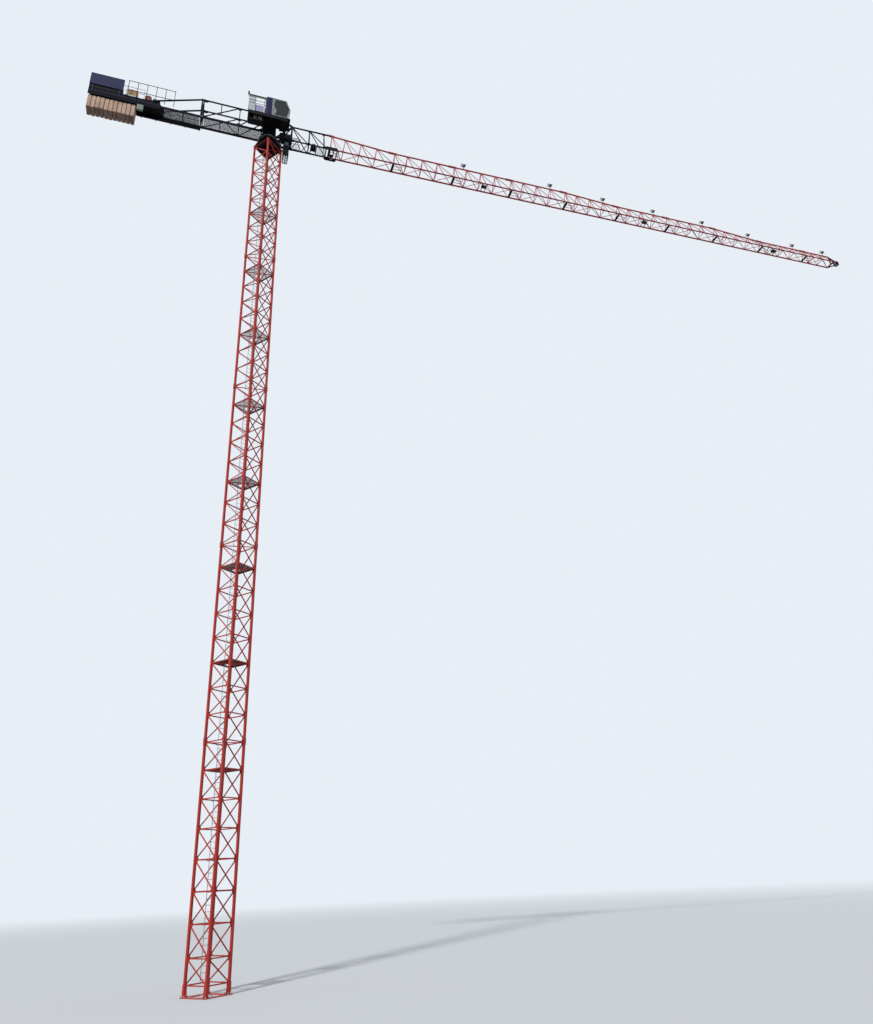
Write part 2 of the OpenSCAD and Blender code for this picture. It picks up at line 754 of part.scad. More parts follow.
// cab shell: floor, roof, rear wall and corner posts
module cab_body() {
    w = cab_w;
    color([0.72, 0.74, 0.74]) translate([cab_x, cab_y - 15, cab_z]) {
        difference() {
            rotate([90, 0, 0]) linear_extrude(w) polygon(cab_side(0));
            translate([0, -20, 0]) rotate([90, 0, 0]) linear_extrude(w - 40)
                polygon([[30, 40], [cab_len + 200, 40], [cab_len + 200, 560], [cab_len - 174, cab_h - 30],
                    [30, cab_h - 30]]);
            translate([0, 30, 0]) rotate([90, 0, 0]) linear_extrude(w + 60) polygon(cab_window());
        }
        block([20, -w - 12, cab_h], [cab_len - 150, 12, cab_h + 16]);
    }
}

// glazing of the cab
module cab_glass() {
    w = cab_w;
    color(GLASS) translate([cab_x, cab_y - 15, cab_z]) difference() {
        translate([0, -20.3, 0]) rotate([90, 0, 0]) linear_extrude(w - 40.6)
            polygon([[60, 50], [cab_len - 88, 50], [cab_len - 6, 560], [cab_len - 180, cab_h - 36],
                [60, cab_h - 36]]);
        translate([0, -30, 0]) rotate([90, 0, 0]) linear_extrude(w - 60)
            polygon([[80, 60], [cab_len - 100, 60], [cab_len - 18, 560], [cab_len - 190, cab_h - 46],
                [80, cab_h - 46]]);
    }
}

// upright board between the walkway and the cab
module side_board() {
    y = cab_y - 15 - cab_w;
    color(NAVY) translate([cab_x + 20, y - 15, cab_z]) block([0, 0, 0], [board_w, 15, cab_h - 1]);
}

// box with the switch gear behind the guard rail
module switch_box() {
    color([0.66, 0.66, 0.80]) translate([cab_x - walk_len + 275, cab_y - cab_w - 5, cab_z]) {
        block([0, 0, 50], [walk_len - 365, 130, 400]);
        for (x = [20, walk_len - 415]) block([x, 40, 0], [x + 30, 90, 60]);
    }
}

// trolley that hangs from the ledges of the bottom chords
module trolley() {
    l = trolley_len / 2;
    y = rail_y + 14 + 6;
    color(BLACK) on_jib() translate([trolley_x, 0, 0]) {
        for (s = [-1, 1]) {
            translate([0, s * (y + 7), 0]) rotate([90, 0, 0]) linear_extrude(14, center = true)
                polygon([[-l, -50], [50 - l, -120], [l - 50, -120], [l, -50], [l, 40], [l - 30, 70],
                    [30 - l, 70], [-l, 40]]);
            bar([s * (l - 30), -y - 7, -80], [s * (l - 30), y + 7, -80], 40);
            bar([s * 90, -y - 7, -90], [s * 90, y + 7, -90], 36);
        }
        for (s = [-1, 1]) for (x = [-l + 60, l - 60]) {
            translate([x, s * (y - 6), -chord_s / 2 + 8 + 0.3 + 26]) rotate([90, 0, 0])
                cylinder(h = 16, d = 52, center = true, $fn = 32);
        }
    }
}

// hook block drawn up under the trolley
module hook_block() {
    color(BLACK) on_jib() translate([trolley_x, 0, -120]) {
        for (y = [-54, 54]) block([-108, y - 6, -128], [108, y + 6, 12]);
        for (x = [-50, 50]) translate([x, 0, -68]) rotate([90, 0, 0])
            cylinder(h = 118, d = 78, center = true, $fn = 32);
        block([-22, -60, -150], [22, 60, -112]);
        translate([0, 0, -192]) rotate([90, 0, 0]) difference() {
            cylinder(h = 28, d = 104, center = true, $fn = 48);
            cylinder(h = 34, d = 60, center = true, $fn = 48);
            translate([16, 4, -17]) cube([48, 48, 34]);
        }
    }
}

mast_anchors();
mast_section_1();
mast_section_2();
mast_section_3();
mast_section_4();
mast_section_5();
access();
slewing_support();
slewing_ring_lower();
slewing_ring_upper();
turntable();
slew_drives();
slewing_column();
jib_root();
jib_section_1();
jib_section_2();
jib_section_3();
jib_section_4();
jib_section_5();
jib_section_6();
jib_section_7();
jib_section_8();
jib_section_9();
jib_tip();
tip_head();
rope_rollers();
floodlights();
trolley_winch();
counter_jib_front();
counter_jib_rear();
counter_deck();
counter_rails();
ballast();
hoist_winch();
winch_drum();
electric_cabinet();
rear_board();
open_board();
cab_platform();
cab_body();
cab_glass();
side_board();
switch_box();
trolley();
hook_block();
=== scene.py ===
"""Tower crane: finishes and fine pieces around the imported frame. Metres, +Z up, jib along +X."""
import math

import bpy
import numpy as np
from bpy.props import FloatProperty, FloatVectorProperty, IntProperty, PointerProperty
from bpy.types import Operator, Panel, PropertyGroup
from mathutils import Matrix, Vector


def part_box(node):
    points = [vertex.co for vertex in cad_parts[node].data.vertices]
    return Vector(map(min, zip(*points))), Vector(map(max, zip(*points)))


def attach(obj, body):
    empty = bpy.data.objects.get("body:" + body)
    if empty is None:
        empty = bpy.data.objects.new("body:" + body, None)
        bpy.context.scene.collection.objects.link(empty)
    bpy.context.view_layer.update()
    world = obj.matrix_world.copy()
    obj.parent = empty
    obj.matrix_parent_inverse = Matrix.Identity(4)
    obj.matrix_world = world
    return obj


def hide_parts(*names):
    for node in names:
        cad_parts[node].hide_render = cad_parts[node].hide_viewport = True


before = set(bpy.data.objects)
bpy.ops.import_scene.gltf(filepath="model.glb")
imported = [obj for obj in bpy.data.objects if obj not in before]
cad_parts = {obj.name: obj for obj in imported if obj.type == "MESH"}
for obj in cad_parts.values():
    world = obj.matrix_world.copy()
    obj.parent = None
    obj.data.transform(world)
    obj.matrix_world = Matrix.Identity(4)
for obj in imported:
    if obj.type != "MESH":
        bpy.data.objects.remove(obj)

bl_info = {
    "name": "Tower crane dressing",
    "version": (1, 0, 0),
    "blender": (4, 5, 0),
    "location": "View3D > Sidebar > Crane",
    "description": "Finishes and fine pieces for a flat-top tower crane with a lattice mast",
    "category": "Object",
}

TURN = 2 * math.pi


def linear(r, g, b):
    """A colour written as display values from 0 to 255, as the linear values that a shader reads."""
    c = [v / 255 for v in (r, g, b)]
    return tuple(v / 12.92 if v < 0.04045 else ((v + 0.055) / 1.055) ** 2.4 for v in c)


def length(name, description, default):
    """A property that holds a length in metres."""
    return FloatProperty(name=name, description=description, default=default, min=0, unit="LENGTH")


def colour(name, description, *rgb):
    """A property that holds a colour, given by its display values."""
    return FloatVectorProperty(name=name, description=description, default=linear(*rgb), size=3,
                               min=0, max=1, subtype="COLOR")


def node_low(node):
    """Lowest height of a frame node."""
    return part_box(node)[0].z


def node_high(node):
    """Highest height of a frame node."""
    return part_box(node)[1].z


class CraneSizes(PropertyGroup):
    """Driving sizes that the fine pieces are worked out from."""

    mast_w: length("Mast width", "Distance between the leg centres", 0.74)
    leg_s: length("Leg side", "Side of the square legs", 0.06)
    bay_h: length("Bay height", "Height of one mast bay", 0.74)
    mast_turn: FloatProperty(name="Mast turn", description="Turn of the mast against the jib",
                             default=math.radians(40.5), subtype="ANGLE")
    bays: IntProperty(name="Bays", description="Bays in one mast section", default=8, min=1)
    ring_d: length("Ring", "Outside diameter of the slewing ring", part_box("slewing_ring_lower")[1].x * 2)
    ring_z: length("Ring height", "Underside of the slewing ring", node_low("slewing_ring_lower"))
    turn_z: length("Turntable height", "Underside of the turntable", node_high("slewing_ring_upper"))
    jib_z: length("Jib height", "Height of the bottom chords at the mast's axis",
                  node_high("slewing_ring_upper") + 0.127)
    jib_w: length("Jib width", "Distance between the two bottom chords", 0.44)
    jib_rise: FloatProperty(name="Jib rise", description="Rise of the jib towards its tip",
                            default=math.radians(1), subtype="ANGLE")
    root_x: length("Root length", "From the mast's axis to the first section", 2.52)
    sec_len: length("Section", "Length of one jib section", 2.79)
    tip_len: length("Tip", "Length of the short last section", 1.75)
    chord_s: length("Chord", "Side of the jib chords", 0.042)
    cj_w: length("Counter-jib width", "Distance between the two side frames", 0.5)
    cj_pin_x: length("Counter-jib pin", "From the mast's axis to the pinned joint", 2.7)
    cj_end_x: length("Counter-jib end", "From the mast's axis to the rear end", 6.9)
    cj_rise: length("Counter-jib height", "From the turntable's underside to the bottom chords", 0.267)
    deck_back: length("Rear deck", "From the counter-jib's pin back to the rear deck", 2.4)
    deck_rise: length("Deck rise", "From the bottom chords to the top of the rear deck", 0.19)
    slab_n: IntProperty(name="Slabs", description="Number of ballast slabs", default=11, min=1)
    slab_t: length("Slab", "Thickness of one slab", 0.15)
    slab_gap: length("Slab gap", "Gap between two slabs", 0.008)
    cab_len: length("Cab length", "Length of the cab", 0.98)
    cab_w: length("Cab width", "Width of the cab", 0.56)
    cab_h: length("Cab height", "Height of the cab", 1.0)
    trolley_x: length("Trolley", "From the mast's axis to the trolley at rest", 2.6)


class CraneColours(PropertyGroup):
    """Colours of the finishes, before weather and dust."""

    red: colour("Mast red", "Paint of the mast", 188, 42, 28)
    jib_red: colour("Jib red", "Paint of the jib sections", 168, 40, 48)
    worn_red: colour("Worn red", "Sun-bleached red paint", 198, 70, 54)
    navy: colour("Navy", "Paint of the root and the counter-jib", 12, 15, 32)
    black: colour("Black", "Paint of the slewing unit and the platforms", 14, 14, 17)
    board: colour("Board blue", "Face of the boards", 14, 18, 68)
    crimson: colour("Crimson", "Paint of the hoist motor", 112, 26, 50)
    beige: colour("Beige", "Paint of the cabinet", 184, 136, 88)
    grey: colour("Cab grey", "Shell of the cab", 128, 134, 136)
    lilac: colour("Lilac", "Face of the switch box", 150, 148, 192)
    concrete: colour("Concrete", "Ballast slabs", 214, 184, 164)
    steel: colour("Steel", "Bare machined steel", 150, 152, 156)
    zinc: colour("Zinc", "Hot-dip galvanised steel", 158, 164, 166)
    dust: colour("Dust", "Site dust on upward faces", 176, 160, 140)
    rust: colour("Rust", "Rust where the paint has gone", 96, 48, 28)
    glass: colour("Glass", "Tint of the cab's glass", 46, 62, 68)
    mesh_green: colour("Guard green", "Coated wire mesh", 86, 108, 100)
    sky: colour("Backdrop", "Plain background behind the crane", 232, 238, 245)


# Forms: vertices and faces of a surface as whole arrays


# Turns for a plate drawn in XY: its face then looks along X or along -Y, and its Y stands upright
FACING_X = np.array([[0, 0, 1], [1, 0, 0], [0, 1, 0]], float)
FACING_Y = np.array([[1, 0, 0], [0, 0, -1], [0, 1, 0]], float)


class Form:
    """Vertices, and faces in arrays whose rows are the corners of one face."""

    def __init__(self, points, *faces):
        self.points = np.asarray(points, float).reshape(-1, 3)
        self.faces = [np.asarray(f, int) for f in faces if len(f)]

    def __add__(self, other):
        start = len(self.points)
        return Form(np.vstack([self.points, other.points]), *self.faces, *[f + start for f in other.faces])

    def turned(self, matrix):
        """The form with each vertex multiplied by a 3 by 3 matrix."""
        return Form(self.points @ np.asarray(matrix, float).T, *self.faces)

    def moved(self, *offset):
        return Form(self.points + np.asarray(offset, float), *self.faces)

    def copies(self, places, turns=None):
        """The form at each row of places, turned first by the matrix of the same row."""
        places = np.asarray(places, float).reshape(-1, 3)
        n, each = len(places), len(self.points)
        turns = np.tile(np.eye(3), (n, 1, 1)) if turns is None else np.asarray(turns, float)
        points = np.einsum("nij,kj->nki", turns, self.points) + places[:, None]
        steps = np.arange(n)[:, None, None] * each
        return Form(points.reshape(-1, 3), *[(f[None] + steps).reshape(-1, f.shape[1]) for f in self.faces])


def rows(x, y, z):
    """Points from three columns. A single number fills its whole column."""
    return np.stack(np.broadcast_arrays(x, y, z), axis=-1).astype(float)


def together(forms):
    """Several forms as one."""
    forms = [f for f in forms if len(f.points)]
    starts = np.cumsum([0] + [len(f.points) for f in forms])
    return Form(np.vstack([f.points for f in forms]),
                *[g + start for f, start in zip(forms, starts) for g in f.faces])


def loft(rings, caps=True, ends_meet=False):
    """Surface through rings of points, an array (copies, rings, points a ring, 3): quads join point j of
    ring i to point j of ring i + 1, and each end ring becomes one face."""
    rings = np.asarray(rings, float)
    rings = rings[None] if rings.ndim == 3 else rings
    n, m, k = rings.shape[:3]
    index = np.arange(n * m * k).reshape(n, m, k)
    low = index if ends_meet else index[:, :-1]
    high = np.roll(index, -1, axis=1) if ends_meet else index[:, 1:]
    quads = np.stack([low, np.roll(low, -1, axis=2), np.roll(high, -1, axis=2), high], axis=-1)
    faces = [quads.reshape(-1, 4)]
    if caps and not ends_meet:
        faces += [index[:, 0, ::-1], index[:, -1]]
    return Form(rings.reshape(-1, 3), *faces)


def across(direction, up=(0, 0, 1)):
    """For rows of directions, two unit rows that stand square to each and to one another."""
    d = np.asarray(direction, float)
    d = d / np.linalg.norm(d, axis=-1, keepdims=True)
    up = np.broadcast_to(np.asarray(up, float), d.shape)
    spare = np.broadcast_to([1.0, 0, 0], d.shape)
    up = np.where(np.abs((up * d).sum(-1, keepdims=True)) > 0.98, spare, up)
    side = np.cross(up, d)
    side /= np.linalg.norm(side, axis=-1, keepdims=True)
    return side, np.cross(d, side)


def circle(sides, radius=1.0, start=0.0):
    """Points on a circle, anticlockwise, as rows of two."""
    t = TURN * (np.arange(sides) + start) / sides
    return radius * np.stack([np.cos(t), np.sin(t)], axis=1)


def rods(starts, ends, radius, sides=8, up=(0, 0, 1), start=0.0):
    """Straight bars between rows of points: a regular polygon carried from each start to each end."""
    a, b = (np.asarray(p, float).reshape(-1, 3) for p in (starts, ends))
    side, rise = across(b - a, up)
    ring = circle(sides, radius, start)
    flat = ring[None, :, :1] * side[:, None] + ring[None, :, 1:] * rise[:, None]
    return loft(np.stack([a[:, None] + flat, b[:, None] + flat], axis=1))


def tube(path, radius, sides=12, up=(0, 0, 1), closed=False):
    """Round profile carried along a path of points; radius is one number or one a point."""
    p = np.asarray(path, float)
    ahead = np.roll(p, -1, 0) - np.roll(p, 1, 0) if closed else np.gradient(p, axis=0)
    side, rise = across(ahead, up)
    r = np.broadcast_to(np.asarray(radius, float), len(p))[:, None, None]
    ring = circle(sides)
    rings = p[:, None] + r * (ring[None, :, :1] * side[:, None] + ring[None, :, 1:] * rise[:, None])
    return loft(rings, ends_meet=closed)


def section(path, profile, up=(0, 0, 1)):
    """A profile, rows of (sideways, upwards), carried along a path of points."""
    p = np.asarray(path, float)
    side, rise = across(np.gradient(p, axis=0), up)
    q = np.asarray(profile, float)
    return loft(p[:, None] + q[None, :, :1] * side[:, None] + q[None, :, 1:] * rise[:, None])


def blocks(centres, sizes, bevel=0.002):
    """Boxes with bevelled edges: four rings of eight corners, the outer two drawn in by the bevel."""
    c, s = np.broadcast_arrays(*(np.asarray(v, float).reshape(-1, 3) for v in (centres, sizes)))
    h = s / 2
    b = np.minimum(bevel, h.min(axis=1) * 0.8)[:, None]
    sy = np.array([-1, 1, 1, 1, 1, -1, -1, -1])
    sx = np.array([1, 1, 1, -1, -1, -1, -1, 1])
    in_x, in_y = np.array([0, 0, 1, 1, 0, 0, 1, 1]), np.array([1, 1, 0, 0, 1, 1, 0, 0])
    rings = []
    for z, inset in ((-1, 1), (-1, 0), (1, 0), (1, 1)):
        x = sx * (h[:, :1] - b * (in_x + inset * (1 - in_x)))
        y = sy * (h[:, 1:2] - b * (in_y + inset * (1 - in_y)))
        lift = z * (h[:, 2:] - b * (1 - inset)) + 0 * x
        rings.append(np.stack([x, y, lift], axis=-1))
    return loft(np.stack(rings, axis=1) + c[:, None, None])


def strip(x0, x1, y, h, wide, tall, bevel=0.001):
    """Block from station x0 to x1, with the middle of its section at y and height h."""
    return blocks([((x0 + x1) / 2, y, h)], (x1 - x0, wide, tall), bevel)


def board_edge(x0, x1, z0, z1, y, wide, deep):
    """Folded edge round a board that stands in XZ: four bars with their outer sides on its outline."""
    x, z, half = (x0 + x1) / 2, (z0 + z1) / 2, wide / 2
    flat, upright = (x1 - x0, deep, wide), (wide, deep, z1 - z0 - 2 * wide)
    middles = [(x, y, z0 + half), (x, y, z1 - half), (x0 + half, y, z), (x1 - half, y, z)]
    return blocks(middles, [flat, flat, upright, upright], 0.001)


def plate(outline, thickness, bevel=0.0):
    """Flat plate: an outline in XY raised along Z from 0, drawn in to its middle at a bevelled edge."""
    q = np.asarray(outline, float)
    area = (q[:, 0] * np.roll(q[:, 1], -1) - np.roll(q[:, 0], -1) * q[:, 1]).sum()
    q = q if area > 0 else q[::-1]
    middle = q.mean(0)
    shrink = middle + (q - middle) * (1 - bevel / np.abs(q - middle).max())
    levels = [(shrink, 0), (q, bevel), (q, thickness - bevel), (shrink, thickness)] if bevel else \
        [(q, 0), (q, thickness)]
    return loft(np.stack([rows(*r.T, z) for r, z in levels]))


def gusset(half, thick, bevel=0.0):
    """Node plate that stands in XZ, the same on both sides of its node, from its right half's corners."""
    left = [(-x, h) for x, h in half]
    outline = left[:1] + half + left[:0:-1]
    return plate(outline, thick, bevel).turned(FACING_Y).moved(0, thick / 2, 0)


def lathe(profile, sides=32, axis=(0, 0, 1)):
    """Surface of revolution: rows of (radius, height) turned about an axis through the origin."""
    q = np.asarray(profile, float)
    ring = circle(sides)
    rings = np.concatenate([q[:, :1, None] * ring[None], np.repeat(q[:, 1:, None], sides, 1)], axis=2)
    side, rise = across(np.asarray([axis], float))
    return loft(rings).turned(np.stack([side[0], rise[0], np.asarray(axis, float)], axis=1))


def mirrored(half):
    """Profile that is the same on both sides of its middle, from one side's rows of (radius, height)."""
    return [(r, -h) for r, h in half] + half[::-1]


def cross_bars(places, half, radius, sides):
    """Round bars along Y that reach as far to both sides of each place."""
    places = np.asarray(places, float)
    return rods(places - (0, half, 0), places + (0, half, 0), radius, sides)


def hexes(places, normals, radius, height):
    """Hexagon bolt heads with a washer at rows of places, standing along rows of normals."""
    head = lathe([(radius * 1.35, 0), (radius * 1.35, height * 0.2), (radius, height * 0.2001),
                  (radius, height * 0.9), (radius * 0.86, height)], sides=6)
    n = np.broadcast_to(np.asarray(normals, float), np.asarray(places, float).reshape(-1, 3).shape)
    side, rise = across(n)
    return head.copies(places, np.stack([side, rise, n], axis=2))


def outer_hexes(places, radius, height):
    """Bolt heads on both sides of the middle plane, each looking away from it."""
    return hexes(places, rows(0, np.sign(np.asarray(places)[:, 1]), 0), radius, height)


def grating(low, high, pitch, depth, hole=None, thin=0.002):
    """Bar grating on a rectangle: flat bars along Y every pitch, rods along X on top every second pitch,
    cut out at the hole, and a border bar. Low and high are corners with the top face's height, and hole is
    (x0, y0, x1, y1)."""
    (x0, y0, z), (x1, y1, _) = low, high

    def cut(v, a0, a1, lo, hi, gap):
        """Start and end of the bars at stations v, split in two where they meet the hole."""
        inside = (v > lo) & (v < hi) if gap else np.zeros(len(v), bool)
        whole = rows(v[~inside], a0, a1)
        if not inside.any():
            return whole
        return np.vstack([whole, rows(v[inside], a0, gap[0]), rows(v[inside], gap[1], a1)])

    xs = np.arange(x0 + pitch / 2, x1, pitch)
    ys = np.arange(y0 + pitch, y1, pitch * 2)
    hx, hy = ((hole[0], hole[2]), (hole[1], hole[3])) if hole else ((0, 0), (0, 0))
    h, rod_h, border = z - depth / 2, z - 0.003, 0.005
    x, start, end = cut(xs, y0, y1, *hx, hy if hole else None).T
    bars = [blocks(rows(x, (start + end) / 2, h), rows(thin, end - start, depth), 0.0003)]
    y, start, end = cut(ys, x0, x1, *hy, hx if hole else None).T
    bars.append(rods(rows(start, y, rod_h), rows(end, y, rod_h), 0.0022, 4))
    for left, front, right, rear in [(x0, y0, x1, y1)] + ([hole] if hole else []):
        x, y = (left + right) / 2, (front + rear) / 2
        long, short = (right - left + border + 0.001, border, depth), (border, rear - front, depth)
        places = [(x, front, h), (x, rear, h), (left, y, h), (right, y, h)]
        bars.append(blocks(places, [long, long, short, short], 0.0006))
    return together(bars)


def mesh_panel(low, high, pitch=0.02, wire=0.0018, plane="xz"):
    """Woven wire panel on a rectangle: wires both ways that swing over and under each other as waves."""
    (a0, b0), (a1, b1) = low, high
    us, vs = np.arange(a0 + pitch, a1, pitch), np.arange(b0 + pitch, b1, pitch)
    both = []
    for stations, s0, s1, other in ((us, b0, b1, 0), (vs, a0, a1, 1)):
        count = max(2, int(round((s1 - s0) / pitch)))
        run = np.linspace(s0, s1, count + 1)
        wave = 0.6 * wire * np.cos(np.arange(count + 1) * math.pi + other * math.pi)
        sign = np.where(np.arange(len(stations)) % 2, 1.0, -1.0)
        grid = np.zeros((len(stations), count + 1, 3))
        grid[:, :, other] = stations[:, None]
        grid[:, :, 1 - other] = run[None]
        grid[:, :, 2] = sign[:, None] * wave[None]
        ring = circle(4, wire, 0.5)
        along = np.eye(3)[1 - other]
        side, rise = across(along[None])
        offset = ring[:, :1] * side + ring[:, 1:] * rise
        both.append(loft(grid[:, :, None] + offset[None, None]))
    form = together(both)
    return form.turned(FACING_Y) if plane == "xz" else form


def rounded(w, h, r, steps=5):
    """Outline of a rectangle with round corners, centred on the origin, anticlockwise."""
    x, y = w / 2 - r, h / 2 - r
    corners = []
    for k, middle in enumerate(((x, y), (-x, y), (-x, -y), (x, -y))):
        t = np.linspace(0, math.pi / 2, steps) + k * math.pi / 2
        corners.append(r * np.stack([np.cos(t), np.sin(t)], axis=1) + middle)
    return np.vstack(corners)


def about_x(angle):
    """Matrix that turns a form about X."""
    c, s = math.cos(angle), math.sin(angle)
    return np.array([[1, 0, 0], [0, c, -s], [0, s, c]])


def about_z(angle):
    """Matrix that turns a form about Z."""
    c, s = math.cos(angle), math.sin(angle)
    return np.array([[c, -s, 0], [s, c, 0], [0, 0, 1]])


def about_y(angle):
    """Matrix that turns a form about Y."""
    c, s = math.cos(angle), math.sin(angle)
    return np.array([[c, 0, s], [0, 1, 0], [-s, 0, c]])


def on_jib(form, size):
    """The form from the jib's own frame, which starts over the turntable and leans back with the jib."""
    return form.turned(about_y(-size.jib_rise)).moved(0, 0, size.jib_z)


def on_mast(form, size):
    """The form from the mast's own frame, which is turned against the jib."""
    return form.turned(about_z(size.mast_turn))


def piece(name, form, body, slot, material, replaces=(), smooth=False):
    """Makes the form an object that rides on a body, with its finish and the nodes that it stands for."""
    mesh = bpy.data.meshes.new(name)
    loops = np.concatenate([f.reshape(-1) for f in form.faces])
    totals = np.concatenate([np.full(len(f), f.shape[1]) for f in form.faces])
    mesh.vertices.add(len(form.points))
    mesh.vertices.foreach_set("co", form.points.astype(np.float32).ravel())
    mesh.loops.add(len(loops))
    mesh.loops.foreach_set("vertex_index", loops.astype(np.int32))
    mesh.polygons.add(len(totals))
    mesh.polygons.foreach_set("loop_start", np.concatenate([[0], np.cumsum(totals)[:-1]]).astype(np.int32))
    mesh.polygons.foreach_set("loop_total", totals.astype(np.int32))
    mesh.update(calc_edges=True)
    if mesh.validate():
        raise RuntimeError(f"{name}: the form has faces that don't hold")
    mesh.polygons.foreach_set("use_smooth", np.full(len(totals), smooth))
    thing = bpy.data.objects.new(name, mesh)
    bpy.context.scene.collection.objects.link(thing)
    mesh.materials.append(bpy.data.materials[f"{material}_finish"])
    if smooth:
        mesh.set_sharp_from_angle(angle=math.radians(35))
    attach(thing, body)
    if replaces:
        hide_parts(*replaces)


# Slot and finish of the pieces that share them
BOLTS = ("machined_steel", "zinc")
TURNED_STEEL = ("machined_steel", "bare_steel")
BLACK = ("black_paint", "black_paint")
NAVY = ("navy_paint", "navy_paint")
RED = ("red_paint", "red_paint")
GALVANISED = ("galvanised", "zinc")
# The grating finish is darkened as painted shade for gratings and mesh seen from below.
GREY_MESH = ("galvanised", "grating_paint")
GREY = ("cab_grey", "grey_paint")


# Finishes: shader maths written as expressions


class Value:
    """A number that varies over the surface. Operators on it add Math nodes."""

    def __init__(self, finish, link):
        self.finish, self.link = finish, link

    def __add__(self, other):
        return self.finish.maths("ADD", self, other)

    def __sub__(self, other):
        return self.finish.maths("SUBTRACT", self, other)

    def __rsub__(self, other):
        return self.finish.maths("SUBTRACT", other, self)

    def __mul__(self, other):
        return self.finish.maths("MULTIPLY", self, other)

    def __truediv__(self, other):
        return self.finish.maths("DIVIDE", self, other)

    def __rtruediv__(self, other):
        return self.finish.maths("DIVIDE", other, self)

    def __pow__(self, other):
        return self.finish.maths("POWER", self, other)

    def __neg__(self):
        return self.finish.maths("MULTIPLY", self, -1.0)

    __radd__, __rmul__ = __add__, __mul__

    def held(self):
        """The value kept between 0 and 1."""
        return self.finish.maths("ADD", self, 0.0, clamp=True)

    def most(self, other):
        return self.finish.maths("MAXIMUM", self, other)

    def sine(self):
        return self.finish.maths("SINE", self)

    def step(self, low, high):
        """A soft step from 0 at low to 1 at high."""
        return self.finish.node("ShaderNodeMapRange", {"interpolation_type": "SMOOTHSTEP"},
                                {"Value": self, "From Min": low, "From Max": high}, "Result")


def shade(rgb, share):
    """A colour made darker or paler by a share."""
    return tuple(min(1.0, share * c) for c in rgb)


class Finish:
    """One material, or the world when it is given, and its nodes."""

    def __init__(self, name, world=None):
        self.material = world or bpy.data.materials.new(f"{name}_finish")
        self.material.use_nodes = True
        self.tree = self.material.node_tree
        self.tree.nodes.clear()

    def node(self, kind, settings=None, inputs=None, output=0):
        """Adds any node: its settings first, then the values or links of its inputs; returns one output."""
        made = self.tree.nodes.new(kind)
        for key, value in (settings or {}).items():
            setattr(made, key, value)
        for key, value in (inputs or {}).items():
            if isinstance(value, Value):
                self.tree.links.new(value.link, made.inputs[key])
            else:
                made.inputs[key].default_value = value
        return Value(self, made.outputs[output]) if len(made.outputs) else None

    def maths(self, operation, a, b=None, clamp=False):
        inputs = {0: a} if b is None else {0: a, 1: b}
        return self.node("ShaderNodeMath", {"operation": operation, "use_clamp": clamp}, inputs)

    def place(self):
        """Where a point lies on the piece, in metres."""
        return self.node("ShaderNodeTexCoord", output="Object")

    def parts(self, vector):
        """The three numbers of a vector."""
        first = self.node("ShaderNodeSeparateXYZ", inputs={0: vector})
        return [Value(self, s) for s in first.link.node.outputs]

    def scaled(self, vector, x, y, z):
        """The vector with each number multiplied by its own factor."""
        return self.node("ShaderNodeVectorMath", {"operation": "MULTIPLY"}, {0: vector, 1: (x, y, z)})

    def upward(self):
        """How far a face looks up, from -1 to 1."""
        return self.parts(self.node("ShaderNodeNewGeometry", output="Normal"))[2]

    def noise(self, at, scale, detail=2.0, rough=0.5):
        """Cloud pattern around one half."""
        return self.node("ShaderNodeTexNoise", {"normalize": True},
                         {"Vector": at, "Scale": scale, "Detail": detail, "Roughness": rough}, "Fac")

    def cells(self, at, scale, output="Distance"):
        """Cell pattern."""
        return self.node("ShaderNodeTexVoronoi", {"feature": "F1"}, {"Vector": at, "Scale": scale}, output)

    def seen(self):
        """1 for a ray from the camera, from a mirror or through glass, otherwise 0."""
        rays = self.node("ShaderNodeLightPath").link.node.outputs
        kinds = ("Camera", "Glossy", "Transmission")
        camera, glossy, through = (Value(self, rays[f"Is {kind} Ray"]) for kind in kinds)
        return camera.most(glossy).most(through)

    def mix(self, a, b, share):
        """Colour a turned into colour b by a share."""
        a, b = (c if isinstance(c, Value) else (*c, 1.0) for c in (a, b))
        return self.node("ShaderNodeMix", {"data_type": "RGBA"}, {0: share, 6: a, 7: b}, 2)

    def bump(self, height, strength, distance):
        inputs = {"Strength": strength, "Distance": distance, "Height": height}
        return self.node("ShaderNodeBump", None, inputs)

    def close(self, colour, roughness, bump=None, **constants):
        """Ends the material in one Principled shader."""
        inputs = {"Base Color": colour, "Roughness": roughness}
        inputs.update({key.replace("_", " "): value for key, value in constants.items()})
        if bump is not None:
            inputs["Normal"] = bump
        shader = self.node("ShaderNodeBsdfPrincipled", None, inputs)
        self.node("ShaderNodeOutputMaterial", None, {"Surface": shader})
        return self.material


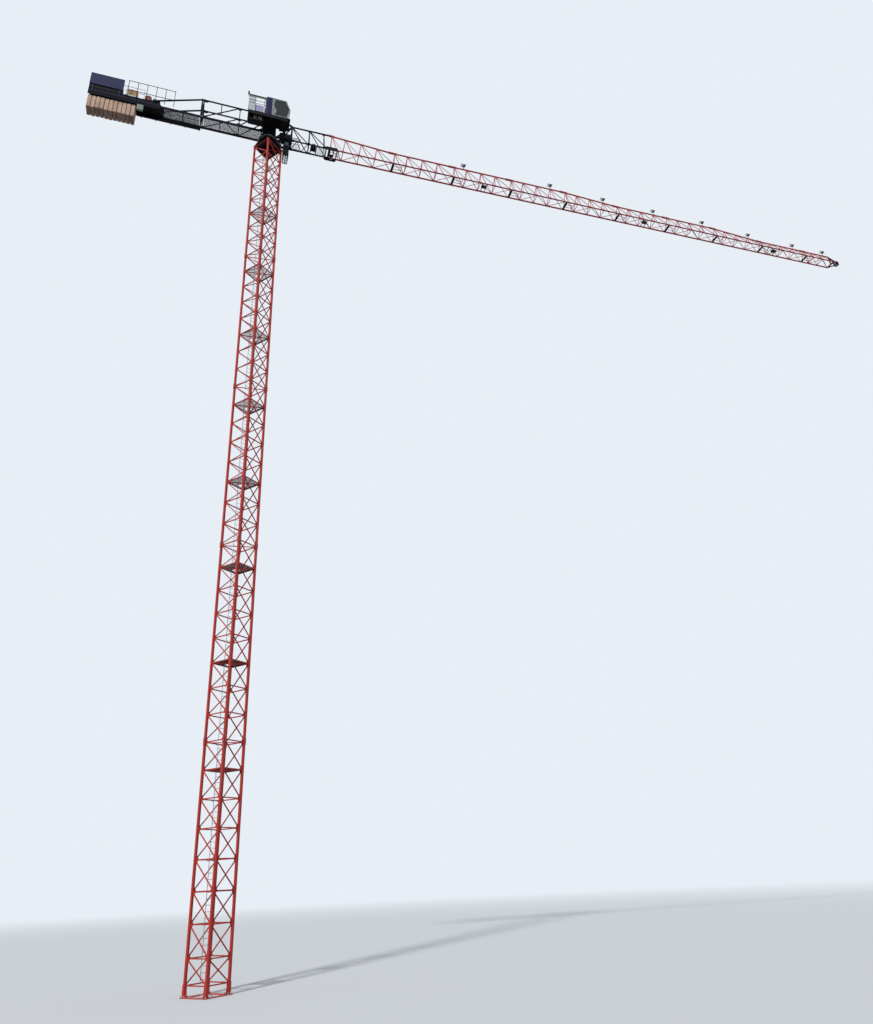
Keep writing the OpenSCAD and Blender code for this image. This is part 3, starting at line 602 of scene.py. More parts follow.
def weathered(name, base, worn, dust, rust, gloss=0.42, chips=0.5, grime_and_shade=0.5, shine=0.5):
    """Site-worn paint: metre-wide fading, hand-wide blotches, runs down the uprights, dust on upward faces,
    painted shade on downward faces, and small chips that show rust where two noises pass a threshold."""
    f = Finish(name)
    at = f.place()
    up = f.upward()
    fade = f.noise(at, 0.7, 3).step(0.38, 0.72)
    blotch = f.noise(at, 9.0, 4, 0.6)
    runs = f.noise(f.scaled(at, 34, 34, 2.2), 1.0, 3).step(0.55, 0.8)
    grain = f.noise(at, 420.0, 2)
    chip = f.noise(at, 58.0, 5, 0.7) + f.noise(at, 3.0, 2) * 0.35
    chip = chip.step(0.865 - 0.08 * chips, 0.89 - 0.08 * chips)
    colour = f.mix(base, worn, (fade * 0.45 + blotch.step(0.45, 0.8) * 0.3) * 0.8)
    # Runs are streaked dirt; the darkening of downward-facing faces is painted shade.
    colour = f.mix(colour, shade(base, 0.35), (runs * 0.4 + (-up).held() * 0.25) * grime_and_shade)
    colour = f.mix(colour, dust, (up.step(0.35, 1.0) * (0.25 + blotch * 0.5) + runs * 0.12) * grime_and_shade)
    colour = f.mix(colour, rust, chip * 0.85)
    rough = gloss + blotch * 0.18 + up.held() * 0.12 + chip * 0.25
    return f.close(colour, rough.held(), f.bump(grain * 0.4 - chip * 0.8 + blotch * 0.3, 0.25, 0.0008),
                   Specular_IOR_Level=shine)


def bare_steel(name, base, dust):
    """Machined steel with turning marks, oil stains and a dull film."""
    f = Finish(name)
    at = f.place()
    marks = f.noise(f.scaled(at, 6, 6, 900), 1.0, 2)
    stain = f.noise(at, 7.0, 4, 0.6)
    colour = f.mix(base, shade(base, 0.3), stain.step(0.5, 0.75) * 0.7)
    colour = f.mix(colour, dust, f.upward().held() * 0.25)
    rough = (0.28 + stain * 0.3 + marks * 0.08).held()
    return f.close(colour, rough, f.bump(marks, 0.15, 0.0004), Metallic=0.85)


def galvanised(name, base, dust):
    """Hot-dip zinc: spangle in cells of one size, white bloom and dust."""
    f = Finish(name)
    at = f.place()
    spangle = f.parts(f.cells(at, 70.0, output="Color"))[0]
    bloom = f.noise(at, 5.0, 4, 0.6).step(0.42, 0.75)
    colour = f.mix(shade(base, 0.72), base, spangle)
    colour = f.mix(colour, (0.7, 0.71, 0.7), bloom * 0.35)
    colour = f.mix(colour, dust, f.upward().step(0.3, 1.0) * 0.35)
    rough = (0.42 + spangle * 0.16 + bloom * 0.2).held()
    return f.close(colour, rough, f.bump(spangle, 0.1, 0.0004), Metallic=0.55)


def concrete(name, base, rust, start, pitch):
    """Cast slabs: each pitch along X has its own tone, with cement cloud, aggregate speckle, air pockets
    painted dark as the shade inside them, and rain stains that run down."""
    f = Finish(name)
    at = f.place()
    slab = f.maths("FLOOR", (f.parts(at)[0] - start) / pitch)
    own = f.node("ShaderNodeTexWhiteNoise", {"noise_dimensions": "1D"}, {"W": slab}, "Value")
    cloud = f.noise(at, 2.2, 4, 0.6)
    speck = f.noise(at, 150.0, 3, 0.7)
    pores_and_pit_shade = 1 - f.cells(at, 55.0).step(0.06, 0.16)
    drips = f.noise(f.scaled(at, 18, 18, 1.3), 1.0, 4, 0.6)
    colour = f.mix(shade(base, 0.72), shade(base, 1.12), cloud.step(0.3, 0.7))
    colour = f.mix(colour, (0.3, 0.2, 0.14), own * 0.3)
    colour = f.mix(colour, (0.2, 0.15, 0.12), drips.step(0.55, 0.85) * 0.5 + speck.step(0.6, 0.8) * 0.15)
    colour = f.mix(colour, rust, drips.step(0.7, 0.9) * 0.25)
    # Air pockets: the bump sinks them, and the dark mix is painted shade inside the pits.
    colour = f.mix(colour, shade(base, 0.25), pores_and_pit_shade * 0.6)
    rough = (0.86 + speck * 0.1).held()
    return f.close(colour, rough, f.bump(speck * 0.4 + cloud * 0.4 - pores_and_pit_shade, 0.5, 0.002))


def moulded(name, base, worn, gloss=0.5):
    """Plain plastic or rubber: fine leather-like grain and rubbed spots."""
    f = Finish(name)
    at = f.place()
    grain = f.cells(at, 700.0)
    rub = f.noise(at, 24.0, 4, 0.6).step(0.5, 0.8)
    colour = f.mix(base, worn, rub * 0.5)
    return f.close(colour, (gloss + rub * 0.2).held(), f.bump(grain, 0.2, 0.0004))


def glass(name, tint, dust):
    """Tinted pane: clear, with dust in patches and runs and a film that scatters a little."""
    f = Finish(name)
    at = f.place()
    film = f.noise(at, 3.5, 4, 0.6).step(0.45, 0.85)
    runs = f.noise(f.scaled(at, 40, 40, 2), 1.0, 3).step(0.6, 0.85)
    colour = f.mix(tint, dust, film * 0.18 + runs * 0.12)
    return f.close(colour, (0.03 + film * 0.12 + runs * 0.1).held(), Transmission_Weight=0.85, IOR=1.45,
                   Specular_IOR_Level=0.25)


def lens(name):
    """Ribbed lamp glass over a bright reflector."""
    f = Finish(name)
    ribs = (f.parts(f.place())[1] * 700).sine() * 0.5 + 0.5
    colour = f.mix((0.55, 0.58, 0.6), (0.9, 0.92, 0.93), ribs)
    return f.close(colour, 0.08 + ribs * 0.1, f.bump(ribs, 0.6, 0.001), Metallic=0.6, Coat_Weight=0.8)


def make_materials(colours, size):
    """Every finish, from the panel's colours."""
    dust, worn_red = tuple(colours.dust), tuple(colours.worn_red)

    def paint(name, base, worn, *how):
        weathered(name, tuple(base), worn, dust, tuple(colours.rust), *how)

    paint("red_paint", colours.red, worn_red, 0.4, 0.5, 0.5)
    paint("jib_paint", colours.jib_red, worn_red, 0.4, 0.4, 0.45)
    paint("navy_paint", colours.navy, linear(22, 25, 42), 0.55, 0.1, 0.08, 0.1)
    paint("black_paint", colours.black, linear(28, 29, 33), 0.55, 0.1, 0.12, 0.12)
    paint("board_paint", colours.board, linear(26, 32, 92), 0.45, 0.1, 0.1, 0.2)
    paint("crimson_paint", colours.crimson, linear(140, 60, 70), 0.35, 0.4, 0.4)
    paint("beige_paint", colours.beige, linear(206, 178, 140), 0.4, 0.3, 0.5)
    paint("grey_paint", colours.grey, linear(176, 182, 180), 0.34, 0.1, 0.35)
    paint("lilac_paint", colours.lilac, linear(184, 184, 212), 0.38, 0.1, 0.4)
    paint("mesh_paint", colours.mesh_green, linear(110, 140, 124), 0.45, 0.3, 0.4)
    # Gratings: dark grey, darker than their zinc, as painted shade for gratings seen from below.
    paint("grating_paint", linear(58, 62, 68), linear(92, 96, 100), 0.55, 0.4, 0.3, 0.25)
    paint("plate_paint", linear(206, 46, 34), worn_red, 0.38, 0.4, 0.4)
    # Mast floors: dark brown-red, darkened as painted shade for floors seen from below.
    paint("shade_darkened_floor_paint", linear(58, 26, 30), linear(84, 48, 50), 0.55, 0.3, 0.2, 0.2)
    paint("pale_paint", linear(136, 150, 138), linear(168, 178, 166), 0.4, 0.2, 0.5)
    paint("motor_paint", linear(96, 101, 106), linear(130, 134, 138), 0.38, 0.3, 0.4)
    bare_steel("bare_steel", tuple(colours.steel), dust)
    galvanised("zinc", tuple(colours.zinc), dust)
    first_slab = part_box("ballast")[0].x - size.slab_gap / 2
    concrete("slab_concrete", tuple(colours.concrete), tuple(colours.rust), first_slab,
             size.slab_t + size.slab_gap)
    moulded("rubber", linear(20, 20, 21), linear(44, 44, 44), 0.6)
    moulded("seat_cloth", linear(40, 44, 52), linear(66, 70, 78), 0.8)
    moulded("trim_plastic", linear(58, 60, 62), linear(86, 88, 90), 0.5)
    glass("pane", tuple(colours.glass), dust)
    lens("lamp_glass")


MAST_SECTIONS, JIB_SECTIONS = 5, 9
DRESS = {
    "red_paint": ["mast_anchors"] + [f"mast_section_{k}" for k in range(1, MAST_SECTIONS + 1)],
    "jib_paint": [f"jib_section_{k}" for k in range(1, JIB_SECTIONS + 1)] + ["jib_tip"],
    "navy_paint": ["jib_root", "counter_jib_front", "counter_jib_rear", "hoist_winch"],
    "black_paint": ["slewing_support", "turntable", "slewing_column", "tip_head", "rope_rollers",
                    "floodlights", "trolley_winch", "open_board", "cab_platform", "trolley", "hook_block"],
    "board_paint": ["rear_board", "side_board"],
    "crimson_paint": ["winch_drum"],
    "beige_paint": ["electric_cabinet"],
    "grey_paint": ["cab_body"],
    "lilac_paint": ["switch_box"],
    "bare_steel": ["slewing_ring_lower", "slewing_ring_upper", "slew_drives"],
    "zinc": ["access", "counter_deck", "counter_rails"],
    "slab_concrete": ["ballast"],
    "pane": ["cab_glass"],
}


# Mast


def section_levels(size, k):
    """Height of the foot of mast section k, of its top, and of its strut rings."""
    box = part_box(f"mast_section_{k}")
    low, high = box[0].z, box[1].z
    first = (high - low) - (size.bays - 1) * size.bay_h
    return low, high, low + first + np.arange(size.bays) * size.bay_h - 0.02


def four_faces(form):
    """A form on one mast face, and its copies on the other three."""
    return together([form.turned(about_z(k * math.pi / 2)) for k in range(4)])


def mast_gussets(size):
    """Node plates: a clipped triangle under each strut at one leg of a face and over it at the other."""
    w, leg, thick = size.mast_w / 2, size.leg_s / 2, 0.008
    shape = np.array([(0, 0.006), (0.085, 0.006), (0.085, -0.012), (0.03, -0.1), (0, -0.1)])
    levels = np.concatenate([section_levels(size, k)[2] for k in range(1, MAST_SECTIONS + 1)])
    under = plate(shape, thick).turned(FACING_X).copies(rows(w - thick / 2, leg - w, levels))
    over = plate(-shape, thick).turned(FACING_X).copies(rows(w - thick / 2, w - leg, levels[:-1]))
    return four_faces(under + over)


def joint_plates(size):
    """Splice plates over the collars of each section joint, on both outer faces of each leg, with bolts."""
    w, thick = size.mast_w / 2, 0.007
    out = w + size.leg_s / 2 + 0.009
    heights = [section_levels(size, k)[1] for k in range(1, MAST_SECTIONS)]
    splice = plate(rounded(0.058, 0.2, 0.01, 3), thick, 0.0015).turned(FACING_X)
    plates = splice.copies([(out, y, h) for h in heights for y in (w, -w)])
    spots = [(out + thick, y + u, h + v) for h in heights for y in (-w, w) for u in (-0.014, 0.014)
             for v in (-0.075, -0.045, 0.045, 0.075)]
    return four_faces(plates), four_faces(hexes(spots, (1, 0, 0), 0.0075, 0.008))


def foot_fittings(size):
    """Ribs, washers and anchor nuts round the four feet on the setting frame."""
    w, floor = size.mast_w / 2, 0.015
    rib = plate([(0, 0), (0.062, 0), (0.012, 0.11), (0, 0.11)], 0.008).turned(FACING_Y)
    rib = rib.moved(size.leg_s / 2 + 0.01, 0.004, floor)
    ribs = rib.turned(about_z(math.pi)) + rib.turned(about_z(1.5 * math.pi))
    holes = np.array([(x, y, floor) for x in (-0.06, 0.05) for y in (-0.06, 0.05)])
    studs = rods(holes + (0, 0, 0.015), holes + (0, 0, 0.045), 0.008, 10)
    turns = [about_z(k * math.pi / 2) for k in range(4)]
    spots = [m @ (w, w, 0) for m in turns]
    return ribs.copies(spots, turns), (hexes(holes, (0, 0, 1), 0.014, 0.02) + studs).copies(spots, turns)


class CRANE_OT_mast(Operator):
    """Gussets, splice plates, bolts and foot fittings of the mast"""

    bl_idname = "crane.mast"
    bl_label = "Mast fittings"

    def execute(self, context):
        size = context.scene.crane_sizes
        piece("mast_gussets", on_mast(mast_gussets(size), size), "mast", *RED)
        plates, bolts = joint_plates(size)
        piece("mast_splices", on_mast(plates, size), "mast", *RED)
        piece("mast_bolts", on_mast(bolts, size), "mast", *BOLTS)
        ribs, nuts = foot_fittings(size)
        piece("foot_ribs", on_mast(ribs, size), "mast", *RED)
        piece("foot_nuts", on_mast(nuts, size), "mast", *BOLTS)
        return {"FINISHED"}


RUNG_PITCH = 0.15


class CRANE_OT_access(Operator):
    """Gratings and ladders inside the mast"""

    bl_idname = "crane.access"
    bl_label = "Mast access"

    def execute(self, context):
        size = context.scene.crane_sizes
        edge = size.mast_w / 2
        half, deep = edge - 0.014, edge - size.leg_s / 2
        y, stiles = deep - 0.05, (0.04, 0.22)
        hatch = (stiles[0] - 0.02, 0.05, stiles[1] + 0.02, y)
        parts = ((-deep, deep, half, hatch), (-half, -deep, deep, None), (deep, half, deep, None))
        floors, ladders = [], []
        for k in range(1, MAST_SECTIONS + 1):
            low, high, levels = section_levels(size, k)
            for n in ((5,) if k == MAST_SECTIONS else (1, 5)):
                top = high - n * size.bay_h - 0.006
                floors += [grating((x0, -wide, top), (x1, wide, top), 0.028, 0.014, hole)
                           for x0, x1, wide, hole in parts]
            rung = np.arange(low + 0.1, high - 0.08, RUNG_PITCH)
            ladders.append(rods(rows(stiles[0], y, rung), rows(stiles[1], y, rung), 0.006, 8))
            for x in stiles:
                ladders.append(blocks([(x, y, (low + high) / 2)], (0.008, 0.018, high - low - 0.12), 0.001))
                holds = rows(x, (y + edge) / 2, levels[1::2] - 0.03)
                ladders.append(blocks(holds, (0.006, edge - y, 0.02), 0.001))
        # The floors' dark paint is painted shade for their undersides.
        piece("access_floors", on_mast(together(floors), size), "mast", "galvanised", "shade_darkened_floor_paint",
              ["access"])
        piece("access_ladders", on_mast(together(ladders), size), "mast", *GALVANISED)
        return {"FINISHED"}


# Slewing unit


def gear_ring(radius, depth, teeth, low, high, bore):
    """Toothed ring: the rim's radius swings between root and tip as a rounded square wave."""
    t = TURN * np.arange(teeth * 8) / (teeth * 8)
    edge = radius + depth * np.clip(1.8 * np.cos(teeth * t), -1, 1) / 2
    stations = ((bore, low), (edge - 0.002, low), (edge, low + 0.002), (edge, high - 0.002),
                (edge - 0.002, high), (bore, high))
    rings = [rows(r * np.cos(t), r * np.sin(t), h) for r, h in stations]
    return loft(np.stack(rings), caps=False, ends_meet=True)


def slew_motor():
    """Geared slewing motor: flange, stepped gear case, finned motor and fan cowl, turned as one profile."""
    profile = [(0.056, 0), (0.056, 0.012), (0.05, 0.016), (0.05, 0.05), (0.054, 0.056), (0.054, 0.072),
               (0.046, 0.09), (0.044, 0.096)]
    r = np.tile([0.042, 0.048, 0.048, 0.042], 8)
    h = 0.1 + np.arange(32) * 0.0022
    profile += list(zip(r, h)) + [(0.047, 0.176), (0.047, 0.2), (0.04, 0.21), (0.03, 0.212)]
    body = lathe(profile, 40)
    box = blocks([(0.052, 0, 0.135)], (0.03, 0.045, 0.05), 0.004)
    bolts = hexes(rows(*circle(8, 0.0525).T, 0.012), (0, 0, 1), 0.0035, 0.005)
    return body + box + bolts


RING_BOLTS = 40


class CRANE_OT_slewing(Operator):
    """Ring gear, bolt circles, drives and plates of the slewing unit"""

    bl_idname = "crane.slewing"
    bl_label = "Slewing unit"

    def execute(self, context):
        size = context.scene.crane_sizes
        r, drive_x, drive_y = size.ring_d / 2, 0.47, 0.1
        bolt_r = r - 0.03
        gear = gear_ring(r + 0.03, 0.011, 100, size.ring_z + 0.002, size.ring_z + 0.036, r - 0.01)
        piece("ring_gear", gear, "mast", *TURNED_STEEL)
        pinion = gear_ring(math.hypot(drive_x, drive_y) - r - 0.0445, 0.009, 14, -0.085, -0.045, 0.012)
        shaft = rods([(0, 0, -0.085)], [(0, 0, 0.002)], 0.014, 24)
        places = [(drive_x, y, size.turn_z + 0.024) for y in (-drive_y, drive_y)]
        piece("slew_pinions", (pinion + shaft).copies(places), "upper", *TURNED_STEEL, smooth=True)
        piece("slew_motors", slew_motor().copies(places), "upper", "machined_steel", "motor_paint",
              ["slew_drives"], smooth=True)
        low = rows(*circle(RING_BOLTS, bolt_r).T, size.ring_z - 0.04)
        piece("ring_bolts_fixed", hexes(low, (0, 0, -1), 0.011, 0.012), "mast", *BOLTS)
        x, y = circle(RING_BOLTS, bolt_r, 0.5).T
        between_posts = (np.abs(y) > 0.275) | (x > 0.275)
        clear_of_drives = (x < 0.2) | (np.abs(y) > 0.18)
        high = rows(x, y, size.turn_z + 0.03)[between_posts & clear_of_drives]
        piece("ring_bolts_turning", hexes(high, (0, 0, 1), 0.011, 0.012), "upper", *BOLTS)
        base = size.turn_z + 0.11
        spots = [(x, y, base + h) for x in (-0.185, 0.185) for y in (-0.232, 0.232)
                 for h in (0.075, 0.455, 0.835)]
        piece("column_gussets", blocks(spots, (0.07, 0.008, 0.08), 0.002), "upper", *BLACK)
        return {"FINISHED"}


# Jib


def jib_end(size):
    """Where the last full section of the jib ends."""
    return size.root_x + JIB_SECTIONS * size.sec_len


def jib_stations(size):
    """Start, end and number of bays of each jib length."""
    starts = size.root_x + np.arange(JIB_SECTIONS) * size.sec_len
    return [(x, x + size.sec_len, 4) for x in starts] + [(jib_end(size), jib_end(size) + size.tip_len, 3)]


TOP_HEIGHTS = (1.09, 0.88, 0.88, 0.88, 0.88, 0.715, 0.715, 0.715, 0.52, 0.52, 0.52)


def lattice_nodes(x0, x1, h0, h1, bays):
    """Stations and heights of the top nodes, and stations of the feet, of one jib length."""
    p = (x1 - x0) / bays
    i = np.arange(bays)
    top = x0 + 0.14 + i * p - 0.11 * (i > 0)
    foot = np.concatenate([[x0 + 0.035], top[1:] - 0.16, [x1 - 0.04]])
    return top, h0 + (top - x0) / (x1 - x0) * (h1 - h0), foot


class CRANE_OT_jib(Operator):
    """Node plates, splice pins, sleeves and tip sheave of the jib"""

    bl_idname = "crane.jib"
    bl_label = "Jib fittings"

    def execute(self, context):
        size = context.scene.crane_sizes
        b, c, pin = size.jib_w / 2, size.chord_s / 2, 0.046
        top_plate = gusset([(0.075, 0.01), (0.06, -0.035), (0.02, -0.062)], 0.006)
        foot_plate = gusset([(0.07, -0.004), (0.05, 0.03), (0.02, 0.052)], 0.006)
        plates, pins, nuts, sleeves = [], [], [], []
        for n, (x0, x1, bays) in enumerate(jib_stations(size)):
            h0 = TOP_HEIGHTS[n]
            tx, th, fx = lattice_nodes(x0, x1, h0, TOP_HEIGHTS[n + 1], bays)
            plates.append(top_plate.copies(rows(tx, 0, th - c - 0.002)))
            top_pins = rows(x0 + np.array([0.05, -0.05, 0.16]), 0, h0)
            pins.append(cross_bars(top_pins, pin, 0.013, 16))
            for s in (-1, 1):
                inside = s * (b - c)
                plates.append(foot_plate.copies(rows(fx[1:-1] + 0.01, s * b, c)))
                plates.append(blocks([(x0, inside - s * 0.004, 0)], (0.19, 0.008, 0.036), 0.002))
                nuts.append(hexes(top_pins + (0, s * pin, 0), (0, s, 0), 0.012, 0.009))
                foot_pins = rows(x0 + np.array([0.05, -0.05]), inside - s * 0.008, 0)
                nuts.append(hexes(foot_pins, (0, -s, 0), 0.01, 0.009))
            sleeves.append(blocks([(x0, 0, 0)], (0.1, 2 * (b - c) - 0.02, 0.036), 0.004))
        piece("jib_gussets", on_jib(together(plates), size), "upper", "red_paint", "plate_paint")
        piece("jib_pins", on_jib(together(pins), size), "upper", *TURNED_STEEL, smooth=True)
        piece("jib_nuts", on_jib(together(nuts), size), "upper", *BOLTS)
        piece("jib_sleeves", on_jib(together(sleeves), size), "upper", *BLACK)
        two_grooves = [(0.021, 0.05), (0.097, 0.05), (0.098, 0.044), (0.098, 0.038), (0.0955, 0.028),
                       (0.0955, 0.012), (0.098, 0.004)]
        tip = jib_end(size) + size.tip_len
        sheave = lathe(mirrored(two_grooves), 48, (0, 1, 0)).moved(tip + 0.42, 0, 0.14)
        piece("tip_sheave", on_jib(sheave, size), "upper", *TURNED_STEEL, smooth=True)
        return {"FINISHED"}


def lamp_head():
    """One floodlight head facing +X: case with cooling fins, bezel and yoke, and its ribbed glass apart."""
    outline = rounded(0.13, 0.11, 0.018)
    swell = ((0.55, -0.035), (0.82, -0.026), (0.96, -0.008), (1, 0.012), (1, 0.03), (0.93, 0.036),
             (0.93, 0.028))
    case = loft(np.stack([rows(d, *(outline * k).T) for k, d in swell]))
    fins = blocks([(-0.036, y, 0) for y in np.linspace(-0.036, 0.036, 7)], (0.02, 0.004, 0.07), 0.001)
    pane = loft(np.stack([rows(d, *(outline * 0.92).T) for d in (0.026, 0.031)]))
    arc = np.linspace(-math.pi / 2, math.pi / 2, 13)
    yoke_path = rows(-0.055 * np.cos(arc) - 0.005, 0.073 * np.sin(arc), -0.03 - 0.03 * np.cos(arc))
    yoke = section(yoke_path, [(-0.009, -0.002), (0.009, -0.002), (0.009, 0.002), (-0.009, 0.002)])
    return case + fins + yoke, pane


FLOODLIGHTS = ((2, 0.6), (3, 2.16), (4, 2.175), (5, 2.178), (6, 2.26), (7, 2.23), (8, 2.24), (9, 1.43))


class CRANE_OT_lamps(Operator):
    """Floodlights on the top chord"""

    bl_idname = "crane.lamps"
    bl_label = "Floodlights"

    def execute(self, context):
        size = context.scene.crane_sizes
        case, pane = lamp_head()
        posts, cases, panes = [], [], []
        for n, along in FLOODLIGHTS:
            x, top = size.root_x + n * size.sec_len + along, along / size.sec_len
            foot = TOP_HEIGHTS[n] + top * (TOP_HEIGHTS[n + 1] - TOP_HEIGHTS[n]) + size.chord_s / 2 + 0.003
            posts.append(rods([(x, 0, foot)], [(x, 0, foot + 0.18)], 0.011, 12))
            posts.append(blocks([(x, 0, foot + 0.004)], (0.05, 0.05, 0.007), 0.001))
            arm = ((x - 0.075, 0, foot + 0.17), (x + 0.075, 0, foot + 0.19))
            posts.append(rods(*arm, 0.01, 10, up=(0, 1, 0)))
            for s in (-1, 1):
                turn = about_y(math.radians(35 * s)) @ (np.eye(3) if s > 0 else about_z(math.pi))
                cases.append(case.turned(turn).moved(x + 0.062 * s, 0, foot + 0.243))
                panes.append(pane.turned(turn).moved(x + 0.062 * s, 0, foot + 0.243))
        piece("lamp_posts", on_jib(together(posts), size), "upper", *BLACK, ["floodlights"])
        piece("lamp_cases", on_jib(together(cases), size), "upper", *BLACK)
        piece("lamp_panes", on_jib(together(panes), size), "upper", "cab_glazing", "lamp_glass")
        return {"FINISHED"}


# Counter-jib


def deck_z(size):
    """Height of the middle of the counter-jib's bottom chords."""
    return size.turn_z + size.cj_rise


def rear_deck_x(size):
    """Where the rear deck starts, behind the counter-jib's pinned joint."""
    return -size.cj_pin_x - size.deck_back


class CRANE_OT_counter_jib(Operator):
    """Gratings, toe boards, pins and board frames of the counter-jib"""

    bl_idname = "crane.counter_jib"
    bl_label = "Counter-jib"

    def execute(self, context):
        size = context.scene.crane_sizes
        base, b, pin_x, end_x = deck_z(size), size.cj_w / 2, -size.cj_pin_x, -size.cj_end_x
        deck_x, deck = rear_deck_x(size), base + size.deck_rise
        spans = ((0.33, size.cj_pin_x - 0.1, 0.022), (size.cj_pin_x + 0.07, -deck_x - 0.93, 0.0185))
        floors = [grating((0.026 - b, x0, base + 0.026), (b - 0.026, x1, base + 0.026), pitch, 0.018)
                  for x0, x1, pitch in spans]
        floors = together(floors).turned(about_z(math.pi / 2))
        piece("deck_gratings", floors, "upper", *GREY_MESH, ["counter_deck"])
        walk = (deck_x - 0.06, pin_x - 0.02)
        wide = 2 * b - 0.056
        sheets = [strip(deck_x, deck_x + 0.93, 0, base + 0.017, wide, 0.016, 0.002),
                  strip(*walk, b + 0.105, base + 0.016, 0.15, 0.017, 0.002),
                  strip(end_x + 0.01, deck_x + 0.04, 0, deck + 0.009, wide, 0.016, 0.002)]
        pitch = 0.03
        grid = np.meshgrid(np.arange(end_x + 0.04, deck_x + 0.02, pitch),
                           np.arange(0.05 - b, b - 0.04, pitch))
        x, y = (v.ravel() for v in grid)
        lozenge = blocks([(0, 0, 0)], (0.016, 0.003, 0.0016), 0.0005)
        even = (np.arange(len(x)) % 2 == 0)[:, None, None]
        turns = np.where(even, about_z(math.pi / 4), about_z(-math.pi / 4))
        sheets.append(lozenge.copies(rows(x, y, deck + 0.0178), turns))
        piece("deck_plates", together(sheets), "upper", *BLACK)
        board_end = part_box("rear_board")[1].x + 0.02
        toes = [strip(board_end, deck_x - 0.02, -b - 0.019, deck + 0.03, 0.004, 0.06),
                strip(end_x, deck_x - 0.02, b + 0.019, deck + 0.03, 0.004, 0.06),
                strip(*walk, b + 0.178, base + 0.05, 0.004, 0.06)]
        piece("toe_boards", together(toes), "upper", *GALVANISED)
        sheet = strip(end_x, board_end, -b - 0.0195, deck + 0.092, 0.003, 0.184)
        lips = [strip(end_x, board_end, -b - 0.0225, deck + v, 0.006, 0.016) for v in (0.012, 0.176)]
        bends = rows(np.linspace(end_x + 0.02, board_end - 0.02, 7), -b - 0.0225, deck + 0.094)
        bends = blocks(bends, (0.02, 0.004, 0.15), 0.001)
        piece("side_sheet", together([sheet, *lips, bends]), "upper", *BLACK)
        pins = [(pin_x + x, y, base + h) for y in (-b, b) for h in (0, 1) for x in (-0.045, 0.045)]
        piece("counter_pins", cross_bars(pins, 0.04, 0.017, 20), "upper", *TURNED_STEEL, smooth=True)
        up = gusset([(0.11, 0), (0.1, 0.03), (0.04, 0.09)], 0.01)
        down = gusset([(0.11, 0), (0.1, -0.03), (0.04, -0.09)], 0.01)
        low_nodes, high_nodes = (pin_x + 1.46, -0.33, pin_x + 0.13), (pin_x + 1.46, -0.36, pin_x + 0.12)
        plates = up.copies([(x, y, base + 0.028) for x in low_nodes for y in (-b, b)]) \
            + down.copies([(x, y, base + 0.98) for x in high_nodes for y in (-b, b)])
        piece("counter_gussets", plates, "upper", *NAVY)
        heads = [(pin_x + x + u, s * (b + 0.031), base + h) for x in (0.045, -0.03) for u in (-0.02, 0.02)
                 for h in (-0.03, 0.015, 0.98, 1.015) for s in (-1, 1)]
        piece("counter_bolts", outer_hexes(heads, 0.0055, 0.006), "upper", *BOLTS)
        return {"FINISHED"}


class CRANE_OT_ballast(Operator):
    """Cast ballast slabs"""

    bl_idname = "crane.ballast"
    bl_label = "Ballast"

    def execute(self, context):
        size = context.scene.crane_sizes
        low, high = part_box("ballast")
        w, h, t = (high.y - low.y) / 2, high.z - low.z, size.slab_t - 0.01
        clip, edge = 0.022, 0.014
        outline = np.array([(clip - w, -h), (w - clip, -h), (w, clip - h), (w, -clip), (w - clip, 0),
                            (clip - w, 0), (-w, -clip), (-w, clip - h)])
        middle = np.array([0, -h / 2])
        small = middle + (outline - middle) * (1 - edge / np.array([w, h / 2]))
        rings = [rows(d, *q.T) for q, d in ((small, 0), (outline, edge), (outline, t - edge), (small, t))]
        i = np.arange(size.slab_n)
        shorter, narrower = 0.006 + 0.018 * np.abs(np.sin(i * 2.4 + 0.6)), 0.005
        scales = np.tile(np.diag([1, 1 - narrower / w, 1]), (size.slab_n, 1, 1))
        scales[:, 2, 2] -= shorter / h
        places = rows(low.x + 0.005 + i * (size.slab_t + size.slab_gap), 0.004 * np.sin(i * 1.9), high.z)
        slabs = loft(np.stack(rings)).copies(places, scales)
        piece("ballast_slabs", slabs, "upper", "concrete", "slab_concrete", ["ballast"])
        return {"FINISHED"}


def rope_drum(core, flange, edge, stations, turns, sides):
    """Rope drum along Y: the core swings as a cosine, one wave for each turn of rope, between two flanges
    whose rounded rims are given by their stations."""
    half = stations[0]
    y = np.linspace(-half, half, turns * 6 + 1)
    grooves = core + 0.003 * np.cos((y + half) / (2 * half) * turns * TURN)
    rims = (flange, flange + edge, flange + edge, flange, 0.02)
    side = list(zip(rims, stations[1:] + stations[-1:]))
    return lathe([(r, -h) for r, h in side[::-1]] + list(zip(grooves, y)) + side, sides, (0, 1, 0))


def finned_motor(r, long):
    """Round motor along -Y from the origin: flange, cooling fins along its length, and a vented cowl."""
    fin_end = long * 0.78
    profile = [(0.3 * r, 0), (r, 0), (r, 0.014), (0.9 * r, 0.02), (0.9 * r, fin_end),
               (0.99 * r, long * 0.8), (0.99 * r, long * 0.96), (0.9 * r, long), (0.3 * r, long)]
    core = lathe(profile, 48, (0, -1, 0))
    t = TURN * np.arange(32) / 32
    fin = blocks([(0, -(0.02 + fin_end) / 2, 0.95 * r)], (0.003, fin_end - 0.02, 0.1 * r), 0.0008)
    fins = fin.copies(np.zeros((len(t), 3)), [about_y(a) for a in t])
    vents = rows(r * np.cos(t[::2]), 0, r * np.sin(t[::2]))
    behind = (0, long + 0.001, 0)
    return core + fins + rods(0.25 * vents - behind, 0.75 * vents - behind, 0.003, 6)


